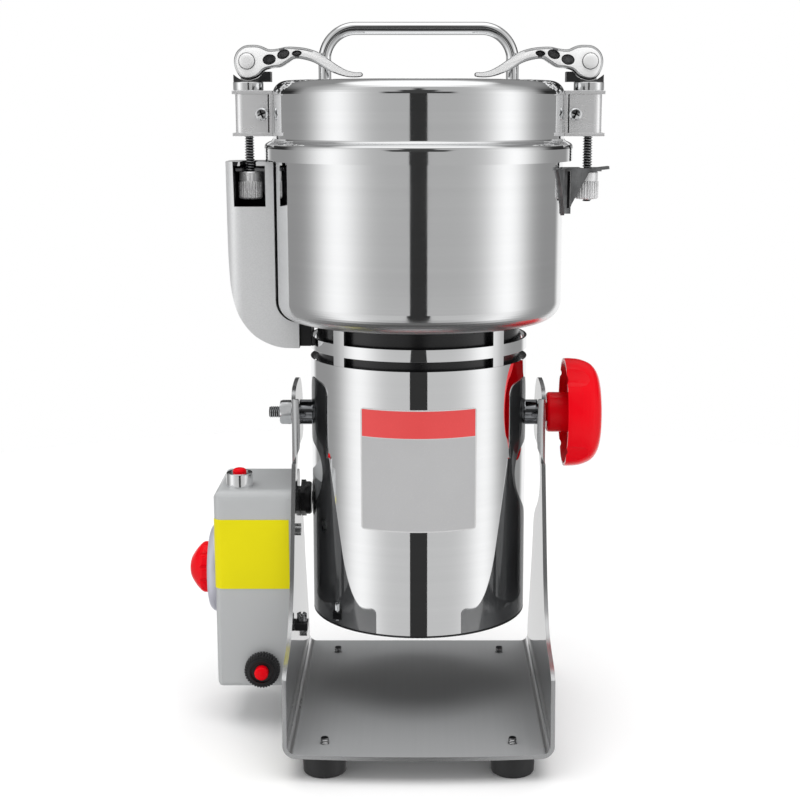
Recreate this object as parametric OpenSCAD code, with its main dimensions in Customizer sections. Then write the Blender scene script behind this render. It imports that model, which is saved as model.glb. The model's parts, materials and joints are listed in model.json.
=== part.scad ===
// Swing-type electric grain mill: a sheet-steel stand with two uprights carries a motor
// housing and grinding bowl that tip forward on two pivots. Millimetres, +Z up, the front
// of the mill faces -Y. The origin is on the floor, at the centre of the footprint's box.

/* [Stand] */
// Distance from the mill's axis to the inner face of each upright
wall_in = 61; // [61:0.25:62]
// Thickness of the folded sheet
sheet_t = 2; // [1.5:0.25:2.25]
// Inward lean of the uprights, in degrees
lean = 0.5; // [0:0.1:0.6]
// Height of the base plate's upper face
plate_top = 13.5; // [13:0.5:15]
// Reach of the stand in front of the mill's axis
base_front = 91; // [88:1:96]
// Reach of the stand behind the mill's axis
base_rear = 64; // [60:1:72]
// Height of the tilting pivots
pivot_z = 157.5; // [156.5:0.5:159.5]
// Diameter of each rubber foot
foot_d = 21.5; // [17:0.5:24]

/* [Motor housing] */
// Outer radius of the motor housing and of the vent ring above it
house_r = 53.6; // [53:0.1:54]
// Wall thickness of the housing
house_t = 1.2; // [1:0.1:1.5]
// Height of the housing's lower edge
house_z0 = 57.5; // [56:0.5:60]
// Height of the housing's upper edge
house_z1 = 187; // [186:0.5:188]

/* [Grinding bowl and lid] */
// Outer radius of the grinding bowl
bowl_r = 70; // [69.5:0.1:70.2]
// Height of the bowl's underside
bowl_z0 = 205.5; // [205:0.5:206]
// Height of the skirt's lower edge
skirt_z0 = 282.5; // [282.5:0.5:283]
// Outer radius of the lid's skirt
skirt_r = 74.6; // [74.4:0.1:75]
// Height of the lid's top
lid_top = 320; // [318:0.5:322]
// Diameter of the lid handle's rod
rod_d = 6.2; // [5:0.1:7]

/* [Latches] */
// Distance from the mill's axis to each latch rod
latch_x = 82; // [81.8:0.1:82.2]
// Height of the lever pins
pin_z = 329.2; // [329:0.1:329.6]

/* [Control box] */
// Width of the control box, outwards from the left upright
box_w = 38; // [35:0.5:40]
// Depth of the control box, front to back
box_d = 52; // [50:1:56]
// Height of the control box's underside
box_z0 = 21; // [19:0.5:24]
// Height of the control box's top
box_z1 = 123; // [122:0.5:124]

/* [Hidden] */
wall_out = wall_in + sheet_t;
plate_bot = plate_top - sheet_t;
box_x = -wall_out - box_w;           // left face of the control box
dial_t = 4.8;                        // dial plate's thickness
knob_h = 11;                         // timer knob's height
reach_l = -box_x + dial_t + knob_h;  // leftmost point of the mill
reach_r = 87.9 + 5.6 * cos(14);      // rightmost point, the right lug's tongue
ax = (reach_l - reach_r) / 2;        // mill's axis in the part's frame
ay = (base_front - skirt_r) / 2;
// faces of an upright at height z
function win(z) = wall_in - (z - plate_top - 4) * tan(lean);
function wout(z) = wall_out - (z - plate_top - 4) * tan(lean);
foot_x = 44.2;
foot_yf = -75;
foot_yr = 46;
e = 0.01;

// ---- helpers -------------------------------------------------------------------------
// Places a child whose origin is on the mill's axis at floor level
module mill() { translate([ax, ay, 0]) children(); }
// The right latch's piece and its mirror image on the left
module both_sides() { children(); mirror([1, 0, 0]) children(); }
// Cylinder along X from x0 to x1 at (y, z)
module xcyl(x0, x1, y, z, r, fn = 64) {
    translate([x0, y, z]) rotate([0, 90, 0]) cylinder(h = x1 - x0, r = r, $fn = fn);
}
// Cylinder along Y from y0 to y1 at (x, z)
module ycyl(y0, y1, x, z, r, fn = 64) {
    translate([x, y0, z]) rotate([-90, 0, 0]) cylinder(h = y1 - y0, r = r, $fn = fn);
}
// Upright cylinder from z0 to z1 at (x, y)
module zcyl(z0, z1, x, y, r, fn = 64) {
    translate([x, y, z0]) cylinder(h = z1 - z0, r = r, $fn = fn);
}
// Box from one corner to the opposite one
module bx(a, b) { translate(a) cube(b - a); }
// Rounded rectangle from a to b
module rrect(a, b, r) {
    translate([a[0] + r, a[1]]) square([b[0] - a[0] - 2 * r, b[1] - a[1]]);
    translate([a[0], a[1] + r]) square([b[0] - a[0], b[1] - a[1] - 2 * r]);
    for (p = [[a[0] + r, a[1] + r], [b[0] - r, a[1] + r], [a[0] + r, b[1] - r], [b[0] - r, b[1] - r]])
        translate(p) circle(r = r, $fn = 48);
}
// Extrudes a drawing made in (x, z) along Y from y0 to y1
module along_y(y0, y1) {
    translate([0, y1, 0]) rotate([90, 0, 0]) linear_extrude(height = y1 - y0) children();
}
// Extrudes a drawing made in (y, z) along X from x0 to x1
module along_x(x0, x1) {
    translate([x0, 0, 0]) rotate([90, 0, 90]) linear_extrude(height = x1 - x0) children();
}
// Smooth open curve through points p, n steps a span
function cr(a, b, c, d, t) = 0.5 * ((2 * b) + (c - a) * t + (2 * a - 5 * b + 4 * c - d) * t * t
    + (3 * b - a - 3 * c + d) * t * t * t);
function smooth(p, n = 5) = let (m = len(p)) concat(
    [for (i = [0 : m - 2], k = [0 : n - 1])
        cr(p[max(i - 1, 0)], p[i], p[i + 1], p[min(i + 2, m - 1)], k / n)], [p[m - 1]]);
// Closed smooth curve through points p
function ring_curve(p, n = 5) = let (m = len(p)) [for (i = [0 : m - 1], k = [0 : n - 1])
    cr(p[(i + m - 1) % m], p[i], p[(i + 1) % m], p[(i + 2) % m], k / n)];
// Points of an arc
function arc(c, r, a0, a1, n = 8) = [for (i = [0 : n]) let (a = a0 + (a1 - a0) * i / n)
    [c[0] + r * cos(a), c[1] + r * sin(a)]];

// ---- stand ---------------------------------------------------------------------------
// Side outline of an upright, in (y, z): a forward toe, a slanted front and a round ear
// above a hooked waist
function upright_outline() = concat(
    [[-base_front - 1, 0], [-base_front - 1, 40]],
    smooth([[-base_front - 1, 40], [-90.5, 46], [-87, 50.5], [-80, 53.5], [-70, 55.5], [-60, 58.5],
        [-51.5, 65], [-45, 74], [-40, 85], [-34.6, 104], [-29.5, 122], [-25.2, 138], [-24.5, 150]], 4),
    smooth([[-24.5, 150], [-24.5, 158], [-24.3, 166], [-23.2, 170.4], [-20, 173], [-14, 174.2],
        [-5, 174.9], [3, 174.6], [9, 172.8], [15, 169], [20, 163.4], [23.4, 157], [24.5, 150], [24, 144],
        [19, 140.8], [8, 140.6], [-4, 140], [-12, 137], [-16, 131], [-15.5, 124], [-10, 116.5], [1, 109.5], [13, 103.5],
        [22, 97], [26.5, 89], [32, 77], [40, 62], [50, 45], [58, 31], [62.5, 22],
        [base_rear, 14]], 4),
    [[base_rear, 0]]);

// Trough section of half-width w above height z0, with the uprights' lean
module leaning(w, z0, r) intersection() {
    rrect([-w, z0], [w, 260 + z0], r);
    polygon([for (p = [[-1, -20], [1, -20], [1, 240], [-1, 240]])
        [p[0] * (w - (p[1] - plate_top - 4) * tan(lean)), p[1]]]);
}
module base_frame() color([0.80, 0.81, 0.82]) mill() { stand_body(); both_sides() ear_lip(); }
// Lip along the front of the right ear, bent inwards; its lower end is cut off slantwise
module ear_lip() let (w = win(152.5)) intersection() {
    translate([0, 0, 136.5]) linear_extrude(height = 32) polygon(concat(
        [[w + sheet_t, -21.2]], arc([w + sheet_t - 3.4, -21.4], 3.4, 0, -90, 8),
        [[w - 2.3, -24.8], [w - 2.3, -22.9], [w + 0.15, -22.9], [w + 0.15, -21.2]]));
    along_y(-30, 0) polygon([[w + 1.85, 136.4], [w + 5, 136.4], [w + 5, 180], [w - 0.9, 180], [w - 1.5, 168.5],
        [w - 2.1, 158], [w - 2.2, 150], [w - 1.8, 144.2], [w - 1.2, 142.6]]);
}
module stand_body() difference() {
    intersection() {
        along_y(-base_front - 2, base_rear + 1) difference() {
            leaning(wall_out, plate_bot, 6);
            leaning(wall_in, plate_top, 4);
        }
        along_x(-80, 80) polygon(upright_outline());
        // the front edge bows forward by 3 mm
        zcyl(-1, 260, 0, 650 - base_front, 650, 720);
        // each ear's front edge is turned in by a lip with a rounded corner
        difference() {
            translate([-90, -120, 0]) cube([180, 240, 260]);
            for (s = [-1, 1]) bx([s > 0 ? 50 : -70, -60, 136.5], [s > 0 ? 70 : -50, -22.2, 168.5]);
        }
    }
    // pivot bores in the two ears
    xcyl(-70, -55, 0, pivot_z, 4.06);
    xcyl(55, 70, 0, pivot_z, 4.06);
    // way for the motor lead, and holes for the box and clip screws
    xcyl(-70, -55, 10, 110.5, 6.1);
    for (p = box_screw_yz) xcyl(-70, -55, p[0], p[1], 1.6, 32);
    // foot screws
    for (x = [-foot_x, foot_x], y = [foot_yf, foot_yr]) zcyl(plate_bot - 2, plate_top + 1, x, y, 2.1);
}
box_screw_yz = [[-18, 101.5], [18, 36]];

module rubber_feet() color([0.06, 0.06, 0.06]) mill()
    for (x = [-foot_x, foot_x], y = [foot_yf, foot_yr]) translate([x, y, 0]) rotate_extrude($fn = 96)
        polygon(concat([[5, 0], [foot_d / 2 - 1.7, 0]], arc([foot_d / 2 - 1.7, 1.2], 1.2, -80, 0, 6),
            [[foot_d / 2, plate_bot], [2.1, plate_bot], [2.1, 6.5], [5, 6.5]]));

module foot_screws() color([0.55, 0.56, 0.58]) mill()
    for (x = [-foot_x, foot_x], y = [foot_yf, foot_yr]) translate([x, y, 0]) {
        difference() {
            union() {
                zcyl(3.4, 6.5, 0, 0, 3.8, 48);
                zcyl(6.4, plate_top + 2.9, 0, 0, 2, 48);
            }
            for (a = [0, 90]) rotate([0, 0, a]) bx([-2.4, -0.45, 3.3], [2.4, 0.45, 4.8]);
        }
    }

// ---- control box on the left upright -------------------------------------------------
// Closed sheet box; its inner side follows the upright's lean
module box_solid(o, r) intersection() {
    along_x(box_x + o, -wall_in - o) rrect([-box_d / 2 + o, box_z0 + o], [box_d / 2 - o, box_z1 - o], r);
    translate([0, 0, box_z0 - 1]) linear_extrude(height = box_z1 - box_z0 + 2)
        rrect([box_x + o, -box_d / 2 + o], [-wall_in + 10, box_d / 2 - o], r - 0.5);
    along_y(-40, 40) intersection() {
        rrect([box_x + o, box_z0 + o], [-wall_in + 20, box_z1 - o], r - 0.25);
        polygon([[box_x, 0], [-wout(0) - o, 0], [-wout(140) - o, 140], [box_x, 140]]);
    }
}
module control_box() color([0.62, 0.63, 0.64]) mill() difference() {
    box_solid(0, 5);
    box_solid(1.6, 3.4);
    xcyl(-70, -55, 10, 110.5, 6.1);
    for (p = box_screw_yz) xcyl(-68, -55, p[0], p[1], 1.55, 32);
    ycyl(-box_d / 2 - 1, -box_d / 2 + 3, brk[0], brk[1], 5.6);
    ycyl(box_d / 2 - 3, box_d / 2 + 1, gland[0], gland[1], 6.1);
    zcyl(box_z1 - 3, box_z1 + 1, btn[0], btn[1], 5.7);
    xcyl(box_x - 1, box_x + 3, 0, dial_z, 4.2);
}
brk = [-78, 31.9];    // overload breaker, (x, z) on the front face
gland = [-82, 38];    // mains gland, (x, z) on the rear face
btn = [-88.9, -13.3]; // power button, (x, y) on the top face
dial_z = 76.7;        // timer dial, on the left face

module control_box_screws() color([0.5, 0.5, 0.52]) mill() for (p = box_screw_yz) {
    difference() {
        xcyl(-win(p[1]) + 0.03, -win(p[1]) + 1.9, p[0], p[1], 3, 48);
        for (a = [0, 90]) translate([-win(p[1]) + 1.9, p[0], p[1]]) rotate([a + 15, 0, 0]) cube([1.2, 0.7, 3.6], center = true);
    }
    xcyl(-wall_out - 4, -win(p[1]) + 0.1, p[0], p[1], 1.55, 32);
}

// Film plate across the box's front, carried round its outer corner
module notice_plate() color([0.86, 0.80, 0.08]) mill() difference() {
    translate([0, 0, 73.3]) linear_extrude(height = 35.3)
        rrect([box_x - 0.25, -box_d / 2 - 0.25], [-wall_out + 10, box_d / 2 + 0.25], 4.75);
    translate([0, 0, 70]) linear_extrude(height = 60) {
        rrect([box_x, -box_d / 2], [-wall_out + 20, box_d / 2], 4.5);
        polygon([[-130, -box_d / 2 + 3.2], [-wall_out + 20, -box_d / 2 + 3.2], [-wall_out + 20, 60], [-130, 60]]);
        polygon([[-wall_out - 0.8, -60], [-30, -60], [-30, 60], [-wall_out - 0.8, 60]]);
    }
}

module timer_plate() color([0.72, 0.73, 0.76]) mill() translate([box_x, 0, dial_z]) rotate([0, -90, 0])
    rotate_extrude($fn = 128) polygon(concat([[4.2, 0], [22.6, 0]], arc([18.8, dial_t - 3.8], 3.8, 0, 80, 10),
        [[4.2, dial_t]]));

module timer_body() color([0.85, 0.85, 0.8]) mill() difference() {
    bx([box_x + 1.6, -17, dial_z - 18], [box_x + 26, 17, dial_z + 18]);
    xcyl(box_x - 1, box_x + 13, 0, dial_z, 3.05);
    for (s = [-1, 1]) xcyl(box_x + 20, box_x + 27, s * 10, dial_z - 12, 1.5, 24);
}

module timer_knob() color([0.80, 0.02, 0.05]) mill() translate([box_x, 0, dial_z]) rotate([0, -90, 0]) {
    difference() {
        union() {
            rotate_extrude($fn = 128) polygon(concat([[0, dial_t + 0.3], [13, dial_t + 0.3], [13, dial_t + 3.4]],
                smooth([[13, dial_t + 3.4], [12.2, dial_t + 4.8], [9.4, dial_t + 7.4], [5.6, dial_t + 9.8],
                    [2.6, dial_t + 10.7], [0, dial_t + knob_h]], 5)));
            translate([0, 0, -11]) cylinder(h = dial_t + 14, r = 3, $fn = 48);
        }
        // pointer line and grip flutes
        translate([-0.45, 0.5, dial_t + 10.1]) cube([0.9, 10, 3]);
        for (a = [15 : 30 : 345]) rotate([0, 0, a]) translate([13.6, 0, dial_t - 1])
            cylinder(h = 9, r = 1.3, $fn = 24);
    }
}

module overload_breaker() color([0.1, 0.1, 0.1]) mill() difference() {
    union() {
        bx([brk[0] - 7, -box_d / 2 + 1.6, brk[1] - 5.8], [brk[0] + 7, 2, brk[1] + 8]);
        ycyl(-box_d / 2 - 5.4, -box_d / 2 + 2, brk[0], brk[1], 5.5);
    }
    ycyl(-box_d / 2 - 6, -13, brk[0], brk[1], 3.55);
    for (s = [-1, 1]) bx([brk[0] + s * 4 - 0.4, 1, brk[1] - 3], [brk[0] + s * 4 + 0.4, 3, brk[1] + 3]);
}

module breaker_nut() color([0.05, 0.05, 0.05]) mill() translate([brk[0], -box_d / 2, brk[1]]) rotate([90, 0, 0])
    difference() {
        rotate_extrude($fn = 96) polygon([[5.5, 0], [8.8, 0], [8.8, 4.9], [8, 5.6], [6.9, 5.6], [6.6, 6.3], [5.5, 6.3]]);
        for (i = [0 : 35]) rotate([0, 0, i * 10]) translate([9, 0, -1]) cylinder(h = 9, r = 0.55, $fn = 16);
    }

module reset_button() color([0.86, 0.03, 0.04]) mill() translate([brk[0], -box_d / 2, brk[1]]) rotate([90, 0, 0])
    rotate_extrude($fn = 64) polygon(concat([[0, -9.5], [3.45, -9.5], [3.45, 8]], smooth([[3.45, 8], [3.1, 8.7], [2, 9.2], [0, 9.4]], 4)));

module button_bezel() color([0.82, 0.83, 0.85]) mill() translate([btn[0], btn[1], box_z1]) rotate_extrude($fn = 96)
    polygon(concat([[3.5, -14], [5.6, -14], [5.6, 0], [6.6, 0], [6.6, 6.2]], arc([6, 6.2], 0.6, 10, 90, 5),
        [[5, 6.8], [4.4, 5.9], [3.5, 5.9]]));

module switch_body() color([0.12, 0.12, 0.13]) mill() difference() {
    bx([btn[0] - 7, btn[1] - 7, box_z1 - 27], [btn[0] + 7, btn[1] + 7, box_z1 - 14]);
    zcyl(box_z1 - 21, box_z1, btn[0], btn[1], 3.5);
}

module power_button() color([0.84, 0.02, 0.10]) mill() translate([btn[0], btn[1], box_z1]) rotate_extrude($fn = 64)
    polygon(concat([[0, -17], [3.4, -17], [3.4, 7.4]], smooth([[3.4, 7.4], [2.9, 8.3], [1.7, 8.8], [0, 8.9]], 4)));

module mains_gland() color([0.06, 0.06, 0.06]) mill() translate([gland[0], box_d / 2, gland[1]]) rotate([-90, 0, 0])
    difference() {
        union() {
            translate([0, 0, -4]) cylinder(h = 5, r = 6, $fn = 64);
            cylinder(h = 5, r = 9, $fn = 6);
            rotate_extrude($fn = 96) polygon(concat([[2, 4.9], [8, 4.9], [8, 12]], smooth([[8, 12], [7.4, 14.5], [5.9, 16]], 4), [[2, 16]]));
        }
        translate([0, 0, -5]) cylinder(h = 30, r = 3.75, $fn = 96);
    }

module motor_gland() color([0.05, 0.05, 0.05]) mill() translate([-win(110.5) + 0.09, 10, 110.5]) rotate([0, 90, 0])
    difference() {
        union() {
            translate([0, 0, -sheet_t - 3.6]) cylinder(h = 5.7, r = 6, $fn = 64);
            cylinder(h = 2.4, r = 9.6, $fn = 6);
            rotate_extrude($fn = 96) polygon(concat([[2, 2.3], [8.4, 2.3], [8.4, 4]], arc([7, 4], 1.4, 0, 90, 5), [[2, 5.4]]));
        }
        translate([0, 0, -6]) cylinder(h = 20, r = 3.6, $fn = 64);
    }

module cable_clip() color([0.07, 0.07, 0.07]) mill() difference() {
    bx([-win(57) + 0.03, -37.5, 55.4], [-win(57) + 6.2, -29, 59]);
    zcyl(50, 70, -win(57) + 3.2, -33.2, 1.5, 32);
}
module clip_screw() color([0.45, 0.46, 0.48]) mill() difference() {
    union() {
        zcyl(59, 63.2, -win(57) + 3.2, -33.2, 2.5, 6);
        zcyl(54.2, 59.1, -win(57) + 3.2, -33.2, 1.45, 32);
    }
    bx([-win(57) + 2.8, -36, 62.2], [-win(57) + 3.6, -30, 64]);
}

// ---- motor housing -------------------------------------------------------------------
module motor_housing() color([0.80, 0.81, 0.83]) mill() difference() {
    rotate_extrude($fn = 180) polygon([[house_r - house_t, house_z0 + 1], [house_r, house_z0 + 1],
        [house_r, house_z1], [house_r - house_t, house_z1]]);
    xcyl(-60, -40, 0, pivot_z, 4.1);
    xcyl(40, 60, 0, pivot_z, 4.1);
}

// Bottom end bell: closes the housing, draws the cooling air, holds the lower bearing
module housing_cap() color([0.08, 0.08, 0.09]) mill() difference() {
    rotate_extrude($fn = 128) polygon([[6, house_z0], [house_r, house_z0], [house_r, house_z0 + 1],
        [house_r - house_t, house_z0 + 1], [house_r - house_t, house_z0 + 6], [house_r - 3, house_z0 + 6],
        [house_r - 3, house_z0 + 3], [15, house_z0 + 3], [15, 72], [11, 72], [11, 64.5], [6, 64.5]]);
    for (i = [0 : 11]) rotate([0, 0, i * 30]) zcyl(house_z0 - 1, house_z0 + 5, 34, 0, 5, 48);
    for (i = [0 : 11]) rotate([0, 0, i * 30 + 15]) zcyl(house_z0 - 1, house_z0 + 5, 23, 0, 3, 32);
}

module rating_plate() color([0.76, 0.77, 0.78]) mill() rotate([0, 0, -90 - 30.6])
    rotate_extrude(angle = 61.2, $fn = 180) polygon([[house_r, 110], [house_r + 0.25, 110], [house_r + 0.25, 169], [house_r, 169]]);

// Air outlet between the housing and the bowl: four posts with a band half way up
module vent_ring() color([0.84, 0.85, 0.86]) mill() difference() {
    rotate_extrude($fn = 180) polygon([[house_r - house_t, house_z1], [house_r, house_z1],
        [house_r, bowl_z0], [house_r - house_t, bowl_z0]]);
    for (a = [0 : 90 : 270]) rotate([0, 0, a - 90]) {
        vent_slot(house_z1 - 1, 191.5);
        vent_slot(197.4, bowl_z0 + 1);
    }
}
// Sector of the ring between two posts 7.3 wide
module vent_slot(z0, z1) intersection() {
    rotate([0, 0, -45]) translate([3.65, 3.65, z0]) cube([70, 70, z1 - z0]);
    zcyl(z0, z1, 0, 0, 60);
}

// ---- bowl ----------------------------------------------------------------------------
function bowl_profile(o) = concat([[9, bowl_z0 - o]], [[bowl_r - 10, bowl_z0 - o]],
    arc([bowl_r - 10, bowl_z0 + 10], 10 + o, -84, -6, 12), [[bowl_r + o, bowl_z0 + 10], [bowl_r + o, 281]]);
module grinding_bowl() color([0.80, 0.81, 0.82]) mill() {
    rotate_extrude($fn = 180) polygon(concat(bowl_profile(0),
        [[bowl_r, 285.9], [bowl_r + 2.3, 285.9], [bowl_r + 2.3, 287.4], [bowl_r - 1.5, 287.4], [bowl_r - 1.5, bowl_z0 + 10]],
        arc([bowl_r - 10, bowl_z0 + 10], 8.5, -6, -90, 12),
        [[14, bowl_z0 + 1.5], [14, bowl_z0 + 7.5], [9, bowl_z0 + 7.5]]));
}

// ---- motor ---------------------------------------------------------------------------
module upper_bracket() color([0.05, 0.05, 0.055]) mill() {
    union() {
        rotate_extrude($fn = 128) polygon([[8, 187.5], [20, 187.5], [20, bowl_z0], [16, bowl_z0], [16, 190.5], [8, 190.5]]);
        rotate_extrude($fn = 128) polygon([[46, 183], [house_r - house_t, 183], [house_r - house_t, 187], [46, 187]]);
        for (a = [45 : 90 : 315]) rotate([0, 0, a]) {
            bx([19, -4, 184], [50, 4, 190]);
            zcyl(184, bowl_z0, 44, 0, 4.5, 48);
        }
        // guard drum behind the air slots
        rotate_extrude($fn = 128) polygon([[48.6, 186], [50, 186], [50, bowl_z0], [48.6, bowl_z0]]);
    }
}

module bearing(z0, h, ri, ro) {
    difference() {
        rotate_extrude($fn = 96) polygon([[ri, z0], [ro, z0], [ro, z0 + h], [ri, z0 + h]]);
        for (s = [z0 - 1, z0 + h - 0.6]) translate([0, 0, s]) difference() {
            cylinder(h = 1.6, r = ro - 1.6, $fn = 64);
            translate([0, 0, -1]) cylinder(h = 4, r = ri + 1.4, $fn = 64);
        }
    }
}
module shaft_bearings() color([0.72, 0.73, 0.75]) mill() {
    bearing(64.5, 7, 4.05, 11);
    bearing(190.5, 10, 6.05, 16);
}

module stator_core() color([0.35, 0.34, 0.34]) mill() difference() {
    zcyl(95, 140, 0, 0, house_r - house_t, 180);
    zcyl(94, 141, 0, 0, 27, 96);
    // two winding windows and two air channels
    for (s = [0, 180]) rotate([0, 0, s]) {
        for (t = [-1, 1]) rotate([0, 0, t * 42]) bx([29, -5, 94], [42, 5, 141]);
        rotate([0, 0, 90]) bx([34, -9, 94], [46, 9, 141]);
    }
    for (s = [0, 180]) rotate([0, 0, s + 90]) translate([50, 0, 94]) cylinder(h = 50, r = 7, $fn = 48);
}

module field_coils() color([0.72, 0.42, 0.20]) mill() for (s = [0, 180]) rotate([0, 0, s]) {
    for (t = [-1, 1]) rotate([0, 0, t * 42]) bx([30, -4, 86], [41, 4, 149]);
    for (z = [86, 141]) translate([0, 0, z]) rotate([0, 0, -42]) rotate_extrude(angle = 84, $fn = 96)
        polygon([[30, 0], [41, 0], [41, 8], [30, 8]]);
}

module brush_holders() color([0.30, 0.20, 0.12]) mill() for (s = [0, 180]) rotate([0, 0, s + 90]) difference() {
    union() {
        bx([16.5, -4.6, 76], [40, 4.6, 85]);
        bx([38, -7, house_z0 + 3], [42, 7, 86]);
    }
    bx([15, -3.1, 77.5], [38.5, 3.1, 83.5]);
}
module carbon_brushes() color([0.15, 0.15, 0.16]) mill() for (s = [0, 180]) rotate([0, 0, s + 90])
    bx([14.3, -3, 77.6], [28, 3, 83.4]);

module motor_shaft() color([0.70, 0.71, 0.73]) mill() difference() {
    rotate_extrude($fn = 96) polygon([[0, 63], [4, 63], [4, 72.2], [5.5, 72.2], [5.5, 190.2], [6, 190.2],
        [6, 219], [5, 219], [5, 244], [4.2, 245], [0, 245]]);
    bx([-1, -7, 244.2], [1, 7, 246]);
}
module armature_core() color([0.32, 0.31, 0.31]) mill() difference() {
    zcyl(96, 139, 0, 0, 26.4, 96);
    zcyl(95, 140, 0, 0, 5.5, 64);
    for (i = [0 : 11]) rotate([0, 0, i * 30]) { bx([25, -1, 95], [27, 1, 140]); zcyl(95, 140, 20.5, 0, 4, 32); }
}
module commutator() color([0.75, 0.45, 0.22]) mill() difference() {
    zcyl(75, 90, 0, 0, 14, 96);
    zcyl(74, 91, 0, 0, 5.5, 64);
    for (i = [0 : 23]) rotate([0, 0, i * 15]) bx([13.2, -0.25, 74], [15, 0.25, 88]);
}
module cooling_fan() color([0.12, 0.12, 0.13]) mill() difference() {
    union() {
        rotate_extrude($fn = 96) polygon([[5.5, 168], [10, 168], [10, 178], [5.5, 178]]);
        rotate_extrude($fn = 96) polygon([[8, 168], [45, 168], [45, 169.6], [8, 169.6]]);
        for (i = [0 : 8]) rotate([0, 0, i * 40]) bx([9, -0.8, 168.5], [45, 0.8, 179.5]);
    }
    zcyl(160, 181, 0, 0, 5.5, 64);
}

// A pair of knives on one hub; each arm carries a cutting bevel
module blade(z, l, w, t) difference() {
    union() {
        bx([-l, -w / 2, z], [l, w / 2, z + t]);
        zcyl(z, z + t, 0, 0, 11, 64);
    }
    zcyl(z - 1, z + t + 1, 0, 0, 5, 64);
    for (s = [0, 180]) rotate([0, 0, s]) translate([14, w / 2, z + t]) rotate([-28, 0, 0]) translate([0, -8, 0]) cube([l, 12, 8]);
}
module lower_blade() color([0.78, 0.79, 0.80]) mill() { blade(219, 60, 16, 2.5); zcyl_ring(221.5, 228); }
module upper_blade() color([0.78, 0.79, 0.80]) mill() { rotate([0, 0, 90]) blade(228, 48, 14, 2.5); zcyl_ring(230.5, 236); }
module zcyl_ring(z0, z1) rotate_extrude($fn = 64) polygon([[5, z0], [8, z0], [8, z1], [5, z1]]);
module blade_nut() color([0.70, 0.71, 0.72]) mill() difference() {
    union() { zcyl(236, 237.2, 0, 0, 9, 64); zcyl(237.1, 243, 0, 0, 8, 6); }
    zcyl(230, 250, 0, 0, 5, 64);
}

// ---- pivots --------------------------------------------------------------------------
module pivot_bosses() color([0.30, 0.31, 0.33]) mill() for (s = [0, 180]) rotate([0, 0, s]) difference() {
    xcyl(50, win(pivot_z) - 0.35, 0, pivot_z, 6.25);
    zcyl(100, 200, 0, 0, house_r, 180);
    xcyl(40, 70, 0, pivot_z, 4.1);
}
module pivot_bolt() color([0.62, 0.63, 0.65]) mill() {
    xcyl(-wout(pivot_z) - 0.3, -house_r + house_t - 0.1, 0, pivot_z, 4);
    xcyl(-74.8, -wout(pivot_z) - 0.2, 0, pivot_z, 3);
    difference() {
        xcyl(-51.6, -47, 0, pivot_z, 7.4, 6);
        xcyl(-48, -40, 0, pivot_z, 5, 48);
    }
    xcyl(-52.6, -51.5, 0, pivot_z, 4);
}
module pivot_nut() color([0.66, 0.67, 0.69]) mill() difference() {
    union() {
        xcyl(-69.4, -wout(pivot_z) - 1.7, 0, pivot_z, 6.4, 6);
        xcyl(-wout(pivot_z) - 1.8, -wout(pivot_z) - 0.35, 0, pivot_z, 6.9);
    }
    xcyl(-80, -50, 0, pivot_z, 3);
}
// Lobed locking knob: a cup with a hub towards the upright and a stud through the ear
module lock_knob() color([0.86, 0.0, 0.06]) mill() translate([0, 0, pivot_z]) rotate([0, 90, 0]) {
    difference() {
        rotate_extrude($fn = 128) polygon(concat([[0, 62.3], [4.8, 62.3], [4.8, 63.8], [8.6, 63.8], [9.6, 64.3], [10, 65.2], [10, 76], [24, 76], [25.6, 72.6], [27, 72.6]],
            smooth([[27, 72.6], [27, 76], [26.3, 81], [24, 86], [19.5, 89.2], [13, 90.3], [0, 90.5]], 4)));
        for (i = [0 : 3]) rotate([0, 0, 40 + i * 90]) translate([41.3, 0, 70]) cylinder(h = 30, r = 16, $fn = 96);
    }
    translate([0, 0, 47]) cylinder(h = 18, r = 4, $fn = 64);
}

// ---- lugs and pouring handle ---------------------------------------------------------
// Fork bracket on the bowl's right side: its slot opens to the rear
module lug(tongue = true) {
    difference() {
        union() {
            bx([66, -9, 257], [71.6, 9, 278.7]);
            bx([69, -5, 257], [73.4, 9, 278.7]);
            bx([69, -9, 277.3], [88, 9, 278.7]);
            if (tongue) translate([87.9, 3.2, 277.3]) rotate([0, -6, 0]) cube([5.6 * cos(14) / cos(6), 5.8, 1.4]);
            // gusset on the front edge
            along_y(-9, -7.5) polygon([[73.2, 277.4], [82.4, 277.4], [73.9, 261.6], [73.2, 259.5]]);
            bx([69, -9, 257], [73.4, -7.5, 259.8]);
            // wing along the bowl, in front of the fork plate; the other lug has the handle there
            if (tongue) intersection() {
                zcyl(250, 290, 0, 0, bowl_r + 1.1, 180);
                along_x(40, 80) polygon([[-28, 278.7], [-8, 278.7], [-8, 257], [-13, 256.5], [-19, 266]]);
            }
        }
        zcyl(200, 300, 0, 0, bowl_r, 180);
        translate([78.8, 0, 270]) cube([6.1, 20, 20]);
        zcyl(270, 290, 81.85, 0, 3.05, 48);
    }
}
module right_lug() color([0.62, 0.63, 0.64]) mill() lug();
module left_lug() color([0.62, 0.63, 0.64]) mill() rotate([0, 0, 180]) lug(false);

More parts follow.
